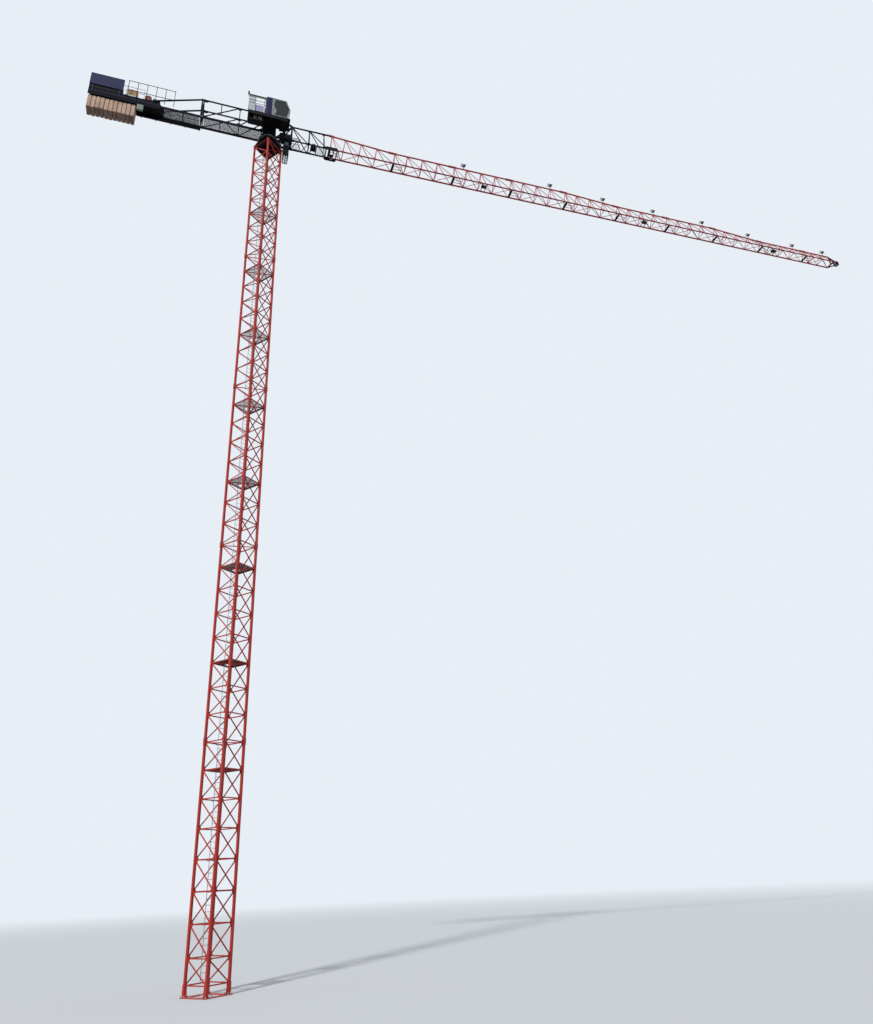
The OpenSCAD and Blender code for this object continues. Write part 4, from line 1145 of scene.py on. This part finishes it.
class CRANE_OT_hoist(Operator):
    """Hoist drum, motor, gear case and cabinets on the rear deck"""

    bl_idname = "crane.hoist"
    bl_label = "Hoist and cabinets"

    def execute(self, context):
        size = context.scene.crane_sizes
        base = deck_z(size)
        deck_x = rear_deck_x(size)
        self.hoist(deck_x + 0.355, base + size.deck_rise + 0.142)
        self.cabinet(deck_x - 0.25, 0.02, base + 0.4683)
        self.lower_box(deck_x + 0.115, -size.cj_w / 2, base - 0.16)
        return {"FINISHED"}

    def hoist(self, x, h):
        """Drum, motor and gear case on the shaft at station x and height h."""
        drum = rope_drum(0.104, 0.15, 0.002, (0.112, 0.114, 0.118, 0.126, 0.13), 15, 64)
        shaft = rods([(0, -0.143, 0)], [(0, 0.143, 0)], 0.045, 32, up=(1, 0, 0))
        piece("hoist_drum", (drum + shaft).moved(x, 0, h), "upper", "motor_crimson", "crimson_paint",
              ["winch_drum"], smooth=True)
        motor = finned_motor(0.131, 0.108).moved(x, -0.1613, h)
        terminals = blocks([(x + 0.04, -0.205, h + 0.138)], (0.09, 0.07, 0.03), 0.004)
        piece("hoist_motor", motor + terminals, "upper", "motor_crimson", "crimson_paint")
        piece("hoist_gear_case", blocks([(x, 0.186, h - 0.01)], (0.25, 0.05, 0.22), 0.02), "upper", *NAVY)
        ring = circle(8, 0.078)
        heads = rows(x + ring[:, 0], 0.161, h + ring[:, 1])
        piece("hoist_bolts", hexes(heads, (0, 1, 0), 0.006, 0.006), "upper", *BOLTS)

    def cabinet(self, x, y, h):
        """Electric cabinet round its middle: body, roof, two doors, handle, hinges and slats."""
        wide, deep, tall = 0.36, 0.34, 0.52
        front = y - deep / 2
        shell = blocks([(x, y, h - 0.006)], (wide, deep, tall - 0.012), 0.006)
        roof = blocks([(x, y, h + tall / 2 - 0.006)], (wide, deep, 0.012), 0.003)
        doors = blocks([(x + s * wide / 4, front - 0.004, h) for s in (-1, 1)],
                       (wide / 2 - 0.012, 0.008, tall - 0.05), 0.003)
        piece("cabinet_shell", shell + roof + doors, "upper", "cabinet_beige", "beige_paint",
              ["electric_cabinet"])
        handle = blocks([(x + 0.02, front - 0.012, h)], (0.012, 0.012, 0.06), 0.003)
        pins = np.array([(x + s * (wide / 2 - 0.008), front - 0.01, h + v)
                         for s in (-1, 1) for v in (-0.18, 0.0, 0.18)])
        hinges = rods(pins - (0, 0, 0.015), pins + (0, 0, 0.015), 0.005, 10)
        slats = rows(x - wide / 4, front - 0.009, h - 0.19 + 0.012 * np.arange(8))
        slats = blocks(slats, (0.1, 0.004, 0.004), 0.001)
        piece("cabinet_trim", handle + hinges + slats, "upper", "machined_steel", "trim_plastic")

    def lower_box(self, x, y, h):
        """Pale box that hangs under the deck, its lid and the lid's three bars."""
        box = blocks([(x, y + 0.018, h - 0.1452)], (0.23, 0.084, 0.289), 0.006)
        lid = blocks([(x, y - 0.026, h - 0.1452)], (0.21, 0.006, 0.26), 0.002)
        bars = blocks([(x, y - 0.03, h - v) for v in (0.07, 0.145, 0.22)], (0.17, 0.004, 0.012), 0.001)
        piece("lower_box", box + lid, "upper", "cabinet_beige", "pale_paint")
        piece("lower_box_bars", bars, "upper", *BLACK)


# Cab


NOSE_H = 0.56


def pillar(h):
    """Rear edge of the side window at height h: an S curve below 0.63, then a straight lean."""
    curve = 0.375 + 0.058 * np.sin(math.pi * (0.455 - h) / 0.35)
    return np.where(h < 0.63, curve, 0.317 + 0.15 * (h - 0.63))


def window_outline(size, grow=0.0):
    """Outline of the cab's side window, anticlockwise from its lower front corner."""
    foot, top = 0.06 - grow, size.cab_h - 0.05 + grow
    h = np.linspace(top, foot, 15)
    end = size.cab_len + grow
    front = [(end - 0.14, foot), (end - 0.045, NOSE_H), (end - 0.2, top)]
    return np.vstack([front, np.stack([pillar(h) - grow, h], axis=1)])


def rim(outer, inner, y, thick):
    """Flat band between two outlines of as many points, standing in XZ from depth y, as a gasket."""
    stations = ((outer, y), (outer, y + thick), (inner, y + thick), (inner, y))
    return loft(np.stack([rows(q[:, 0], d, q[:, 1]) for q, d in stations]), caps=False, ends_meet=True)


def cushion(outline, crown, middle):
    """Upholstered pad: an outline in XY lifted along Z in the crown's steps of (share, height)."""
    return loft(np.stack([rows(*(outline * share + middle).T, h) for share, h in crown]))


SEAT_CROWN = ((0.9, 0), (1.0, 0.015), (1.0, 0.04), (0.94, 0.055), (0.8, 0.06))
BACK_CROWN = ((0.9, 0), (1.0, 0.012), (1.0, 0.035), (0.93, 0.05), (0.8, 0.055))


class CRANE_OT_cab(Operator):
    """Glazing, seals, seat, controls, handle and guard mesh of the cab"""

    bl_idname = "crane.cab"
    bl_label = "Cab"

    def execute(self, context):
        size = context.scene.crane_sizes
        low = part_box("cab_body")[0]
        near = low.y + 0.012
        far = near + size.cab_w
        mid = (near + far) / 2

        def fit(name, form, *how, **more):
            """A piece drawn from the cab's rear lower corner."""
            piece(name, form.moved(low.x, 0, low.z), "upper", *how, **more)

        panes, seals = self.glazing(size, near, far)
        fit("cab_panes", together(panes), "cab_glazing", "pane", ["cab_glass"])
        fit("cab_seals", together(seals), "black_paint", "rubber")
        fit("seat", self.seat(mid), "black_paint", "seat_cloth", smooth=True)
        desk = [blocks([(0.36, mid, 0.12)], (0.16, 0.16, 0.2), 0.01)]
        knob = lathe([(0, 0), (0.012, 0.004), (0.017, 0.016), (0.015, 0.03), (0.006, 0.038),
                      (0, 0.039)], 16)
        for y in (mid - 0.19, mid + 0.19):
            desk.append(blocks([(0.42, y, 0.3)], (0.26, 0.07, 0.05), 0.01))
            desk.append(blocks([(0.36, y, 0.17)], (0.06, 0.05, 0.25), 0.008))
            desk.append(rods([(0.5, y, 0.32)], [(0.515, y, 0.4)], 0.006, 10))
            desk.append(knob.moved(0.514, y, 0.39))
        fit("consoles", together(desk), "black_paint", "trim_plastic")
        handle = rods([(0.3, near - 0.011, 0.3)], [(0.3, near - 0.011, 0.42)], 0.006, 10)
        fit("cab_handles", handle, "machined_steel", "rubber")
        panel = mesh_panel((-0.905, low.z + 0.01), (-0.655, low.z + 0.84), 0.015, 0.002).moved(0, -0.918, 0)
        piece("guard_mesh", panel, "upper", "galvanised", "mesh_paint")
        return {"FINISHED"}

    def glazing(self, size, near, far):
        """Two side windows and the two panes of the nose, each framed by its seal."""
        panes, seals = [], []
        for y, seal_y in ((near + 0.012, near - 0.002), (far - 0.017, far - 0.01)):
            panes.append(plate(window_outline(size), 0.005).turned(FACING_Y).moved(0, y + 0.005, 0))
            seals.append(rim(window_outline(size, 0.004), window_outline(size, -0.012), seal_y, 0.012))
        end = size.cab_len
        foot, nose, brow = (end - 0.088, 0.05), (end - 0.004, NOSE_H), (end - 0.166, size.cab_h - 0.034)
        for a, b in ((foot, nose), (nose, brow)):
            a, b = np.array(a), np.array(b)
            along = (b - a) / np.hypot(*(b - a))
            inwards = 0.006 * np.array([-along[1], along[0]])
            quad = np.stack([a, b, b + inwards, a + inwards])
            sides = [rows(quad[:, 0], y, quad[:, 1]) for y in (far - 0.024, near + 0.024)]
            panes.append(loft(np.stack(sides)))
            for y in (near + 0.02, far - 0.02):
                seals.append(rods([(a[0], y, a[1])], [(b[0], y, b[1])], 0.008, 8, up=(0, 1, 0)))
        for x, h in (foot, (nose[0] + 0.002, nose[1]), brow):
            seals.append(rods([(x, near + 0.02, h)], [(x, far - 0.02, h)], 0.008, 8))
        return panes, seals

    def seat(self, mid):
        """Cushion, and a back that leans away from it."""
        low = cushion(rounded(0.24, 0.24, 0.05, 6), SEAT_CROWN, (0.36, mid)).moved(0, 0, 0.24)
        back = cushion(rounded(0.22, 0.34, 0.06, 6), BACK_CROWN, (mid, 0.5)).turned(FACING_X)
        back.points[:, 0] += 0.19 - 0.2 * (back.points[:, 2] - 0.3)
        return low + back


class CRANE_OT_walkway(Operator):
    """Cabinets, door, roof unit, mesh and trim round the cab's walkway"""

    bl_idname = "crane.walkway"
    bl_label = "Cab walkway"

    def execute(self, context):
        size = context.scene.crane_sizes
        low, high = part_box("cab_body")
        deck, roof, mid = low.z, high.z, (low.y + high.y) / 2
        cabinets, doors = [], []
        for x0, x1 in ((-0.7, -0.57), (-0.52, -0.345)):
            cabinets.append(strip(x0, x1, -0.73, deck - 0.235, 0.15, 0.376, 0.006))
            doors.append(strip(x0 + 0.01, x1 - 0.01, -0.807, deck - 0.22, 0.005, 0.32, 0.0015))
            doors += [strip(x0 + 0.025, x1 - 0.025, -0.8115, deck - 0.3 - 0.011 * k, 0.004, 0.004)
                      for k in range(6)]
        piece("resistor_boxes", together(cabinets), "upper", "cab_grey", "motor_paint")
        piece("resistor_doors", together(doors), "upper", *GREY)
        door = blocks([(low.x - 0.002, mid, deck + 0.48)], (0.004, 0.4, 0.86), 0.001)
        hinge = rods([(low.x - 0.006, -0.84, deck)], [(low.x - 0.006, -0.84, deck + 0.05)], 0.006, 10)
        hinges = hinge.copies([(0, 0, v) for v in (0.15, 0.45, 0.75)])
        pull = blocks([(low.x - 0.009, -0.5, deck + 0.48)], (0.012, 0.014, 0.1), 0.003)
        piece("cab_door", door + hinges + pull, "upper", *GREY)
        unit = blocks([(low.x + 0.36, mid, roof + 0.036)], (0.36, 0.3, 0.07), 0.012)
        vents = rows(low.x + 0.25 + 0.02 * np.arange(12), mid, roof + 0.073)
        vents = blocks(vents, (0.006, 0.24, 0.004), 0.001)
        gutters = [strip(low.x + 0.02, low.x + size.cab_len - 0.15, y, roof - 0.006, 0.006, 0.02)
                   for y in (low.y + 0.002, high.y - 0.002)]
        piece("roof_unit", together([unit, vents, *gutters]), "upper", *GREY)
        shelf_h = deck - 0.4245
        shelf = grating((-0.87, -0.855, shelf_h), (-0.355, -0.615, shelf_h), 0.03, 0.003, thin=0.004)
        piece("shelf_ribs", shelf, "upper", *BLACK)
        return {"FINISHED"}


class CRANE_OT_balcony(Operator):
    """Floor and control box of the balcony under the turntable"""

    bl_idname = "crane.balcony"
    bl_label = "Balcony"

    def execute(self, context):
        size = context.scene.crane_sizes
        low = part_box("turntable")[0]
        inner = (size.mast_w / 2 + size.leg_s / 2) * math.sqrt(2) + 0.04
        floor_h = low.z + 0.038
        floor = grating((inner + 0.026, -0.238, floor_h), (inner + 0.198, 0.238, floor_h), 0.026, 0.014)
        piece("balcony_floor", floor, "upper", *GALVANISED)
        h, leaves = size.turn_z - 0.154, (-0.12, 0.12)
        front = blocks([(inner + 0.2155, y, h) for y in leaves], (0.003, 0.22, 0.22), 0.001)
        sides = blocks([(inner + 0.11, s * 0.2455, h) for s in (-1, 1)], (0.15, 0.003, 0.2), 0.001)
        slats = [(inner + 0.219, y, h - 0.08 + 0.011 * k) for y in leaves for k in range(6)]
        knob = rods([(inner + 0.217, 0, h + 0.03)], [(inner + 0.231, 0, h + 0.03)], 0.008, 12)
        knobs = knob.copies([(0, y, 0) for y in (-0.03, 0.03)])
        piece("control_box_doors", front + sides, "upper", "black_paint", "motor_paint")
        piece("control_box_trim", blocks(slats, (0.004, 0.14, 0.004), 0.001) + knobs, "upper", *BLACK)
        foot, top = low.z + 0.05, low.z + 0.4
        side = mesh_panel((inner + 0.02, foot), (inner + 0.198, top))
        sides = side.copies([(0, y, 0) for y in (-0.25, 0.25)])
        end = mesh_panel((-0.235, foot), (0.235, top)).turned(about_z(math.pi / 2))
        piece("balcony_mesh", sides + end.moved(inner + 0.208, 0, 0), "upper", *GREY_MESH)
        return {"FINISHED"}


class CRANE_OT_root(Operator):
    """Node plates, floor mesh, cabinet, guards and trolley winch of the jib's root"""

    bl_idname = "crane.root"
    bl_label = "Jib root"

    def execute(self, context):
        size = context.scene.crane_sizes
        b, c, start, top = size.jib_w / 2, size.chord_s / 2, size.root_x - 1.56, TOP_HEIGHTS[0]

        def fit(name, form, *how, **more):
            """A piece drawn in the jib's own frame."""
            piece(name, on_jib(form, size), "upper", *how, **more)

        under = gusset([(0.1, 0), (0.085, -0.03), (0.03, -0.075)], 0.008)
        over = gusset([(0.1, 0), (0.07, 0.04), (0.03, 0.07)], 0.008)
        tops = [(start + x, 0, top - c - 0.001) for x in (0.02, 0.74, 1.35)]
        feet = [(start + x, y, c) for x in (-0.05, 0.68, 1.37) for y in (-b, b)]
        fit("root_gussets", under.copies(tops) + over.copies(feet), *NAVY)
        half = b - c - 0.002
        mesh = mesh_panel((start + 0.97, -half), (start + 1.43, half), 0.022, 0.0022, "xy")
        edges = [strip(start + 0.97, start + 1.43, y, 0, 0.01, 0.012) for y in (0.004 - half, half - 0.004)]
        fit("root_floor_mesh", together([mesh, *edges]).moved(0, 0, -0.014), *GALVANISED)
        self.cabinet(fit, 0.7, 0.26, b)
        x0, x1 = 0.4, 1.3
        guard = mesh_panel((x0, 0.024), (x1, 0.3)) + board_edge(x0, x1, 0.022, 0.304, 0, 0.012, 0.008)
        lean = math.atan2(b, top)
        guards = [guard.turned(about_x(s * lean)).moved(0, s * (b - 0.021), 0) for s in (-1, 1)]
        fit("root_guards", together(guards), *GREY_MESH)
        self.winch(fit, size.root_x - 0.66, 0.02, b - c)
        return {"FINISHED"}

    def cabinet(self, fit, x, h, b):
        """Cabinet round its middle: two feet across the chords, two slatted doors a side and a hood."""
        long, deep, tall = 0.5, 0.2, 0.4
        doors = [(x + u, s * (deep / 2 + 0.002), h) for u in (-long / 4, long / 4) for s in (-1, 1)]
        case = blocks([(x, 0, h)], (long, deep, tall), 0.008)
        feet = blocks([(x + u, 0, 0.0405) for u in (-0.18, 0.18)], (0.04, 2 * b, 0.039), 0.003)
        hood = blocks([(x, 0, h + tall / 2 + 0.006)], (long + 0.03, deep + 0.026, 0.012), 0.003)
        slats = [(u, y + math.copysign(0.005, y), h + 0.1 + 0.012 * k) for u, y, h in doors
                 for k in range(5)]
        slats = blocks(slats, (0.12, 0.005, 0.004), 0.001)
        fit("slewing_cabinet", together([case, feet, hood, slats]), *BLACK)
        fit("slewing_cabinet_doors", blocks(doors, (long / 2 - 0.014, 0.006, tall - 0.04), 0.002),
            "black_paint", "grating_paint")

    def winch(self, fit, x, base, reach):
        """Trolley winch at station x: two beams across the chords, bed, round-topped cheeks and drum."""
        shaft = (x, 0, base + 0.15)
        bars = blocks([(x + u, 0, base + 0.01) for u in (-0.11, 0.11)], (0.036, 2 * reach, 0.036), 0.003)
        bed = blocks([(x, 0, base + 0.033)], (0.26, 0.248, 0.03), 0.004)
        t = np.linspace(0, math.pi, 13)
        arch = np.stack([0.055 * np.cos(t), 0.15 + 0.04 * np.sin(t)], axis=1)
        cheek = plate(np.vstack([[(-0.075, 0.04), (0.075, 0.04)], arch]), 0.014, 0.002).turned(FACING_Y)
        cheeks = cheek.moved(x, -0.109, base) + cheek.moved(x, 0.123, base)
        fit("trolley_winch_frame", bars + bed + cheeks, *BLACK, ["trolley_winch"])
        drum = rope_drum(0.072, 0.094, 0.001, (0.086, 0.087, 0.09, 0.095, 0.098), 14, 48)
        cap = [(0.034, 0.123), (0.034, 0.127), (0.028, 0.13), (0, 0.13)]
        drum = together([drum] + [lathe(cap, 24, (0, s, 0)) for s in (-1, 1)]).moved(*shaft)
        fit("trolley_winch_drum", drum, "machined_steel", "motor_paint", smooth=True)
        heads = np.array([(u, y, v) for y in (-0.1235, 0.1235) for u, v in circle(6, 0.045)]) + shaft
        fit("trolley_winch_bolts", outer_hexes(heads, 0.0045, 0.005), *BOLTS)


ROLLERS = ((2, 1.505), (5, 1.508), (8, 0.84))


class CRANE_OT_rollers(Operator):
    """Rollers and bolts of the rope roller boxes, and bolts of the tip frame"""

    bl_idname = "crane.rollers"
    bl_label = "Rope rollers"

    def execute(self, context):
        size = context.scene.crane_sizes
        places = [size.root_x + n * size.sec_len + along for n, along in ROLLERS]
        waisted = mirrored([(0.008, 0.04), (0.016, 0.04), (0.017, 0.036), (0.013, 0.012)])
        wheel = lathe(waisted, 20, (0, 1, 0))
        pin = cross_bars([(0, 0, 0)], 0.052, 0.007, 12)
        ears = blocks([(0, y, -0.006) for y in (-0.048, 0.048)], (0.03, 0.006, 0.032), 0.002)
        spots = [(x + u, 0, 0.122) for x in places for u in (-0.07, 0.07)]
        wheels = (wheel + pin).copies(spots)
        piece("roller_wheels", on_jib(wheels, size), "upper", *TURNED_STEEL, smooth=True)
        piece("roller_ears", on_jib(ears.copies(spots), size), "upper", *BLACK)
        heads = [(x + u, s * 0.0605, v) for x in places for u in (-0.1, -0.03, 0.03, 0.1) for s in (-1, 1)
                 for v in (0.04, 0.08)]
        tip = jib_end(size) + size.tip_len
        heads += [(tip + u, y, v) for u in (0.34, 0.42, 0.5) for v in (0.05, 0.23)
                  for y in (-0.0785, 0.0785)]
        piece("roller_bolts", on_jib(outer_hexes(heads, 0.006, 0.006), size), "upper", *BOLTS)
        return {"FINISHED"}


class CRANE_OT_boards(Operator):
    """Folded edges, ribs and rivets of the boards, and clamps of the open frame"""

    bl_idname = "crane.boards"
    bl_label = "Boards"

    def execute(self, context):
        size = context.scene.crane_sizes
        low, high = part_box("rear_board")
        foot = high.z - 0.61
        rear = board_edge(low.x, high.x, foot, high.z, low.y - 0.001, 0.016, 0.008)
        side_low, side_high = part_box("side_board")
        side = board_edge(side_low.x, side_high.x, side_low.z, side_high.z, side_low.y - 0.001, 0.01, 0.006)
        piece("board_edges", rear + side, "upper", "board_blue", "board_paint")
        ribs = [(x, low.y + 0.036, foot + 0.305) for x in np.linspace(low.x + 0.14, high.x - 0.14, 4)]
        piece("board_ribs", blocks(ribs, (0.03, 0.018, 0.57), 0.002), "upper", *GALVANISED)
        spots = [(x, low.y - 0.005, h) for x in np.linspace(low.x + 0.04, high.x - 0.04, 16)
                 for h in (foot + 0.008, high.z - 0.008)]
        rivet = lathe([(0.0045, 0), (0.0035, 0.0014), (0.0, 0.002)], 8, (0, -1, 0))
        piece("board_rivets", rivet.copies(spots), "upper", *BOLTS)
        low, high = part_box("open_board")
        mid, base = (low.y + high.y) / 2, deck_z(size)
        posts = np.linspace(low.x + 0.01, high.x - 0.01, 6)
        spots = np.array([(x, mid, base + h) for x in posts for h in (0.51, 1.04)])
        piece("frame_clamps", blocks(spots, (0.034, 0.026, 0.026), 0.003), "upper", *BLACK)
        feet = rows(posts[:4], mid + 0.004, base + 0.165)
        piece("frame_feet", blocks(feet, (0.05, 0.028, 0.03), 0.003), "upper", *BLACK)
        heads = np.vstack([spots + (x, -0.013, 0) for x in (-0.011, 0.011)])
        piece("frame_bolts", hexes(heads, (0, -1, 0), 0.004, 0.005), "upper", *BOLTS)
        return {"FINISHED"}


class CRANE_OT_rails(Operator):
    """Sockets and bolts at the feet of the hand rails"""

    bl_idname = "crane.rails"
    bl_label = "Hand rails"

    def execute(self, context):
        size = context.scene.crane_sizes
        base, b, end_x, deck_x = deck_z(size), size.cj_w / 2, -size.cj_end_x, rear_deck_x(size)
        runs = ((deck_x + 0.2, end_x + 0.012, -b - 0.008, size.deck_rise, 3),
                (deck_x - 0.08, end_x + 0.012, b + 0.008, size.deck_rise, 3),
                (-size.cj_pin_x - 0.03, deck_x - 0.05, b + 0.17, 0.025, 4))
        spots = np.vstack([rows(np.linspace(x0, x1, n + 1), y, base + h) for x0, x1, y, h, n in runs])
        spots[:, 0] = np.maximum(spots[:, 0], end_x + 0.016)
        socket = blocks([(0, 0, 0.03)], (0.026, 0.026, 0.056), 0.003)
        foot = blocks([(0, 0, 0.004)], (0.03, 0.044, 0.006), 0.001)
        piece("rail_sockets", (socket + foot).copies(spots), "upper", *GALVANISED)
        bolts = outer_hexes([(0, y, h) for y in (-0.0132, 0.0132) for h in (0.018, 0.044)], 0.004, 0.004)
        piece("rail_bolts", bolts.copies(spots), "upper", *BOLTS)
        return {"FINISHED"}


# Trolley


class CRANE_OT_trolley(Operator):
    """Hook, sheaves and wheels of the trolley"""

    bl_idname = "crane.trolley"
    bl_label = "Trolley and hook"

    def execute(self, context):
        size = context.scene.crane_sizes
        top, axles = -0.12, [(x, 0, -0.188) for x in (-0.05, 0.05)]
        cheek = gusset([(0.1, 0.012), (0.107, -0.03), (0.098, -0.09), (0.03, -0.128)], 0.01, 0.002)
        cheeks = cheek.copies([(0, y, top) for y in (-0.054, 0.054)])
        nut = blocks([(0, 0, top - 0.131)], (0.044, 0.118, 0.036), 0.005)
        grooves = [(0.01, 0.044), (0.038, 0.044), (0.0395, 0.036), (0.032, 0.023), (0.0395, 0.011)]
        wheels = lathe(mirrored(grooves), 32, (0, 1, 0)).copies(axles)
        bars = cross_bars(axles, 0.064, 0.01, 16)
        t, r = np.linspace(math.radians(95), math.radians(-165), 40), 0.039
        stem = [(0, 0, top - 0.14), (0, 0, top - 0.15)]
        bend = rows(r * np.cos(t), 0, r * np.sin(t) + top - 0.196)
        fat = np.interp(np.linspace(0, 1, 40), [0, 0.45, 0.8, 1], [0.009, 0.014, 0.01, 0.003])
        hook = tube(np.vstack([stem, bend]), np.concatenate([[0.009, 0.009], fat]), 14, up=(0, 1, 0))
        for name, form, slot_finish, more in (
                ("hook_cheeks", cheeks + nut, BLACK, {"replaces": ["hook_block"]}),
                ("hook_steel", wheels + bars + hook, TURNED_STEEL, {"smooth": True})):
            piece(name, on_jib(form.moved(size.trolley_x, 0, 0), size), "trolley", *slot_finish, **more)
        return {"FINISHED"}


# Finishes and stage


class CRANE_OT_finishes(Operator):
    """Makes every finish and lays it on the frame's nodes"""

    bl_idname = "crane.finishes"
    bl_label = "Finishes"

    def execute(self, context):
        make_materials(context.scene.crane_colours, context.scene.crane_sizes)
        for material, nodes in DRESS.items():
            for name in nodes:
                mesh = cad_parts[name].data
                mesh.materials.clear()
                mesh.materials.append(bpy.data.materials[f"{material}_finish"])
        return {"FINISHED"}


CAMERA_AT = Vector((-1.236, -22.558, 2.361))
CAMERA_PITCH, CAMERA_ROLL, CAMERA_YAW = (math.radians(a) for a in (25.591, -2.854, 19.052))
CAMERA_FOCUS = 762.18
PICTURE = (873, 1024)
SENSOR = 36.0


class CRANE_OT_stage(Operator):
    """Camera, studio light, pale floor and background"""

    bl_idname = "crane.stage"
    bl_label = "Stage"

    def execute(self, context):
        scene = context.scene
        data = bpy.data.cameras.new("camera")
        data.sensor_width, data.sensor_fit = SENSOR, "AUTO"
        data.lens = CAMERA_FOCUS / max(PICTURE) * SENSOR
        data.clip_end = 500
        camera = bpy.data.objects.new("camera", data)
        scene.collection.objects.link(camera)
        (sp, cp), (sy, cy) = ((math.sin(a), math.cos(a)) for a in (CAMERA_PITCH, CAMERA_YAW))
        ahead, right = Vector((sy * cp, cy * cp, sp)), Vector((cy, -sy, 0))
        rise = right.cross(ahead)
        c, s = math.cos(CAMERA_ROLL), math.sin(CAMERA_ROLL)
        x, y = right * c + rise * s, rise * c - right * s
        turn = Matrix((x, y, -ahead)).transposed()
        camera.matrix_world = Matrix.Translation(CAMERA_AT) @ turn.to_4x4()
        scene.camera = camera
        scene.view_settings.view_transform = "Standard"
        self.light(scene)
        self.floor(scene)
        return {"FINISHED"}

    def light(self, scene):
        """Sky that lights evenly, a plain background for the camera, and a soft sun from the front left."""
        scene.world = bpy.data.worlds.new("studio")
        f = Finish("studio", scene.world)
        lit = f.node("ShaderNodeBackground", None, {"Color": (0.93, 0.96, 1.0, 1), "Strength": 0.42})
        sky = (*scene.crane_colours.sky, 1)
        shown = f.node("ShaderNodeBackground", None, {"Color": sky, "Strength": 1.0})
        mix = f.node("ShaderNodeMixShader", None, {0: f.seen(), 1: lit, 2: shown})
        f.node("ShaderNodeOutputWorld", None, {"Surface": mix})
        sun = bpy.data.lights.new("sun", "SUN")
        sun.energy, sun.angle, sun.color = 2.5, math.radians(5), (1.0, 0.97, 0.93)
        lamp = bpy.data.objects.new("sun", sun)
        scene.collection.objects.link(lamp)
        lamp.rotation_euler = Vector((0.55, 0.62, -0.75)).to_track_quat("-Z", "Y").to_euler()

    def floor(self, scene):
        """Pale disc that keeps the shadow and fades into the background far out."""
        sky = tuple(scene.crane_colours.sky)
        f = Finish("floor")
        x, y = f.parts(f.place())[:2]
        far = ((x * x + y * y) ** 0.5).step(30, 95)
        seen = f.seen()
        shadow = f.mix(shade(sky, 0.15), shade(sky, 0.8), seen)
        diffuse = f.node("ShaderNodeBsdfDiffuse", None, {"Color": shadow})
        clear = f.node("ShaderNodeBsdfTransparent")
        faded = f.node("ShaderNodeMixShader", None, {0: far * seen, 1: diffuse, 2: clear})
        f.node("ShaderNodeOutputMaterial", None, {"Surface": faded})
        disc = rows(*circle(96, 120.0).T, -0.002)
        mesh = bpy.data.meshes.new("floor")
        mesh.from_pydata(disc.tolist(), [], [list(range(96))])
        mesh.materials.append(f.material)
        floor = bpy.data.objects.new("floor", mesh)
        scene.collection.objects.link(floor)


class CRANE_PT_panel(Panel):
    """Panel in the sidebar"""

    bl_label = "Tower crane"
    bl_idname = "CRANE_PT_panel"
    bl_space_type = "VIEW_3D"
    bl_region_type = "UI"
    bl_category = "Crane"

    def draw(self, context):
        for name in STEPS:
            self.layout.operator(f"crane.{name}")
        for group in (context.scene.crane_sizes, context.scene.crane_colours):
            for key in group.bl_rna.properties.keys():
                if key not in ("rna_type", "name"):
                    self.layout.prop(group, key)


STEPS = ("stage", "finishes", "mast", "access", "slewing", "balcony", "root", "jib", "rollers", "lamps",
         "counter_jib", "rails", "ballast", "hoist", "boards", "cab", "walkway", "trolley")
CLASSES = (CraneSizes, CraneColours, CRANE_OT_stage, CRANE_OT_finishes, CRANE_OT_mast, CRANE_OT_access,
           CRANE_OT_slewing, CRANE_OT_balcony, CRANE_OT_root, CRANE_OT_jib, CRANE_OT_rollers,
           CRANE_OT_lamps, CRANE_OT_counter_jib, CRANE_OT_rails, CRANE_OT_ballast, CRANE_OT_hoist,
           CRANE_OT_boards, CRANE_OT_cab, CRANE_OT_walkway, CRANE_OT_trolley, CRANE_PT_panel)


def register():
    for cls in CLASSES:
        bpy.utils.register_class(cls)
    bpy.types.Scene.crane_sizes = PointerProperty(type=CraneSizes)
    bpy.types.Scene.crane_colours = PointerProperty(type=CraneColours)


def unregister():
    del bpy.types.Scene.crane_sizes, bpy.types.Scene.crane_colours
    for cls in reversed(CLASSES):
        bpy.utils.unregister_class(cls)


def corners(box):
    """A box as plain lists of numbers."""
    return [[float(v) for v in corner] for corner in box]


def main():
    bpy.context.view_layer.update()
    register()
    for name in STEPS:
        getattr(bpy.ops.crane, name)()


if __name__ == "__main__":
    main()
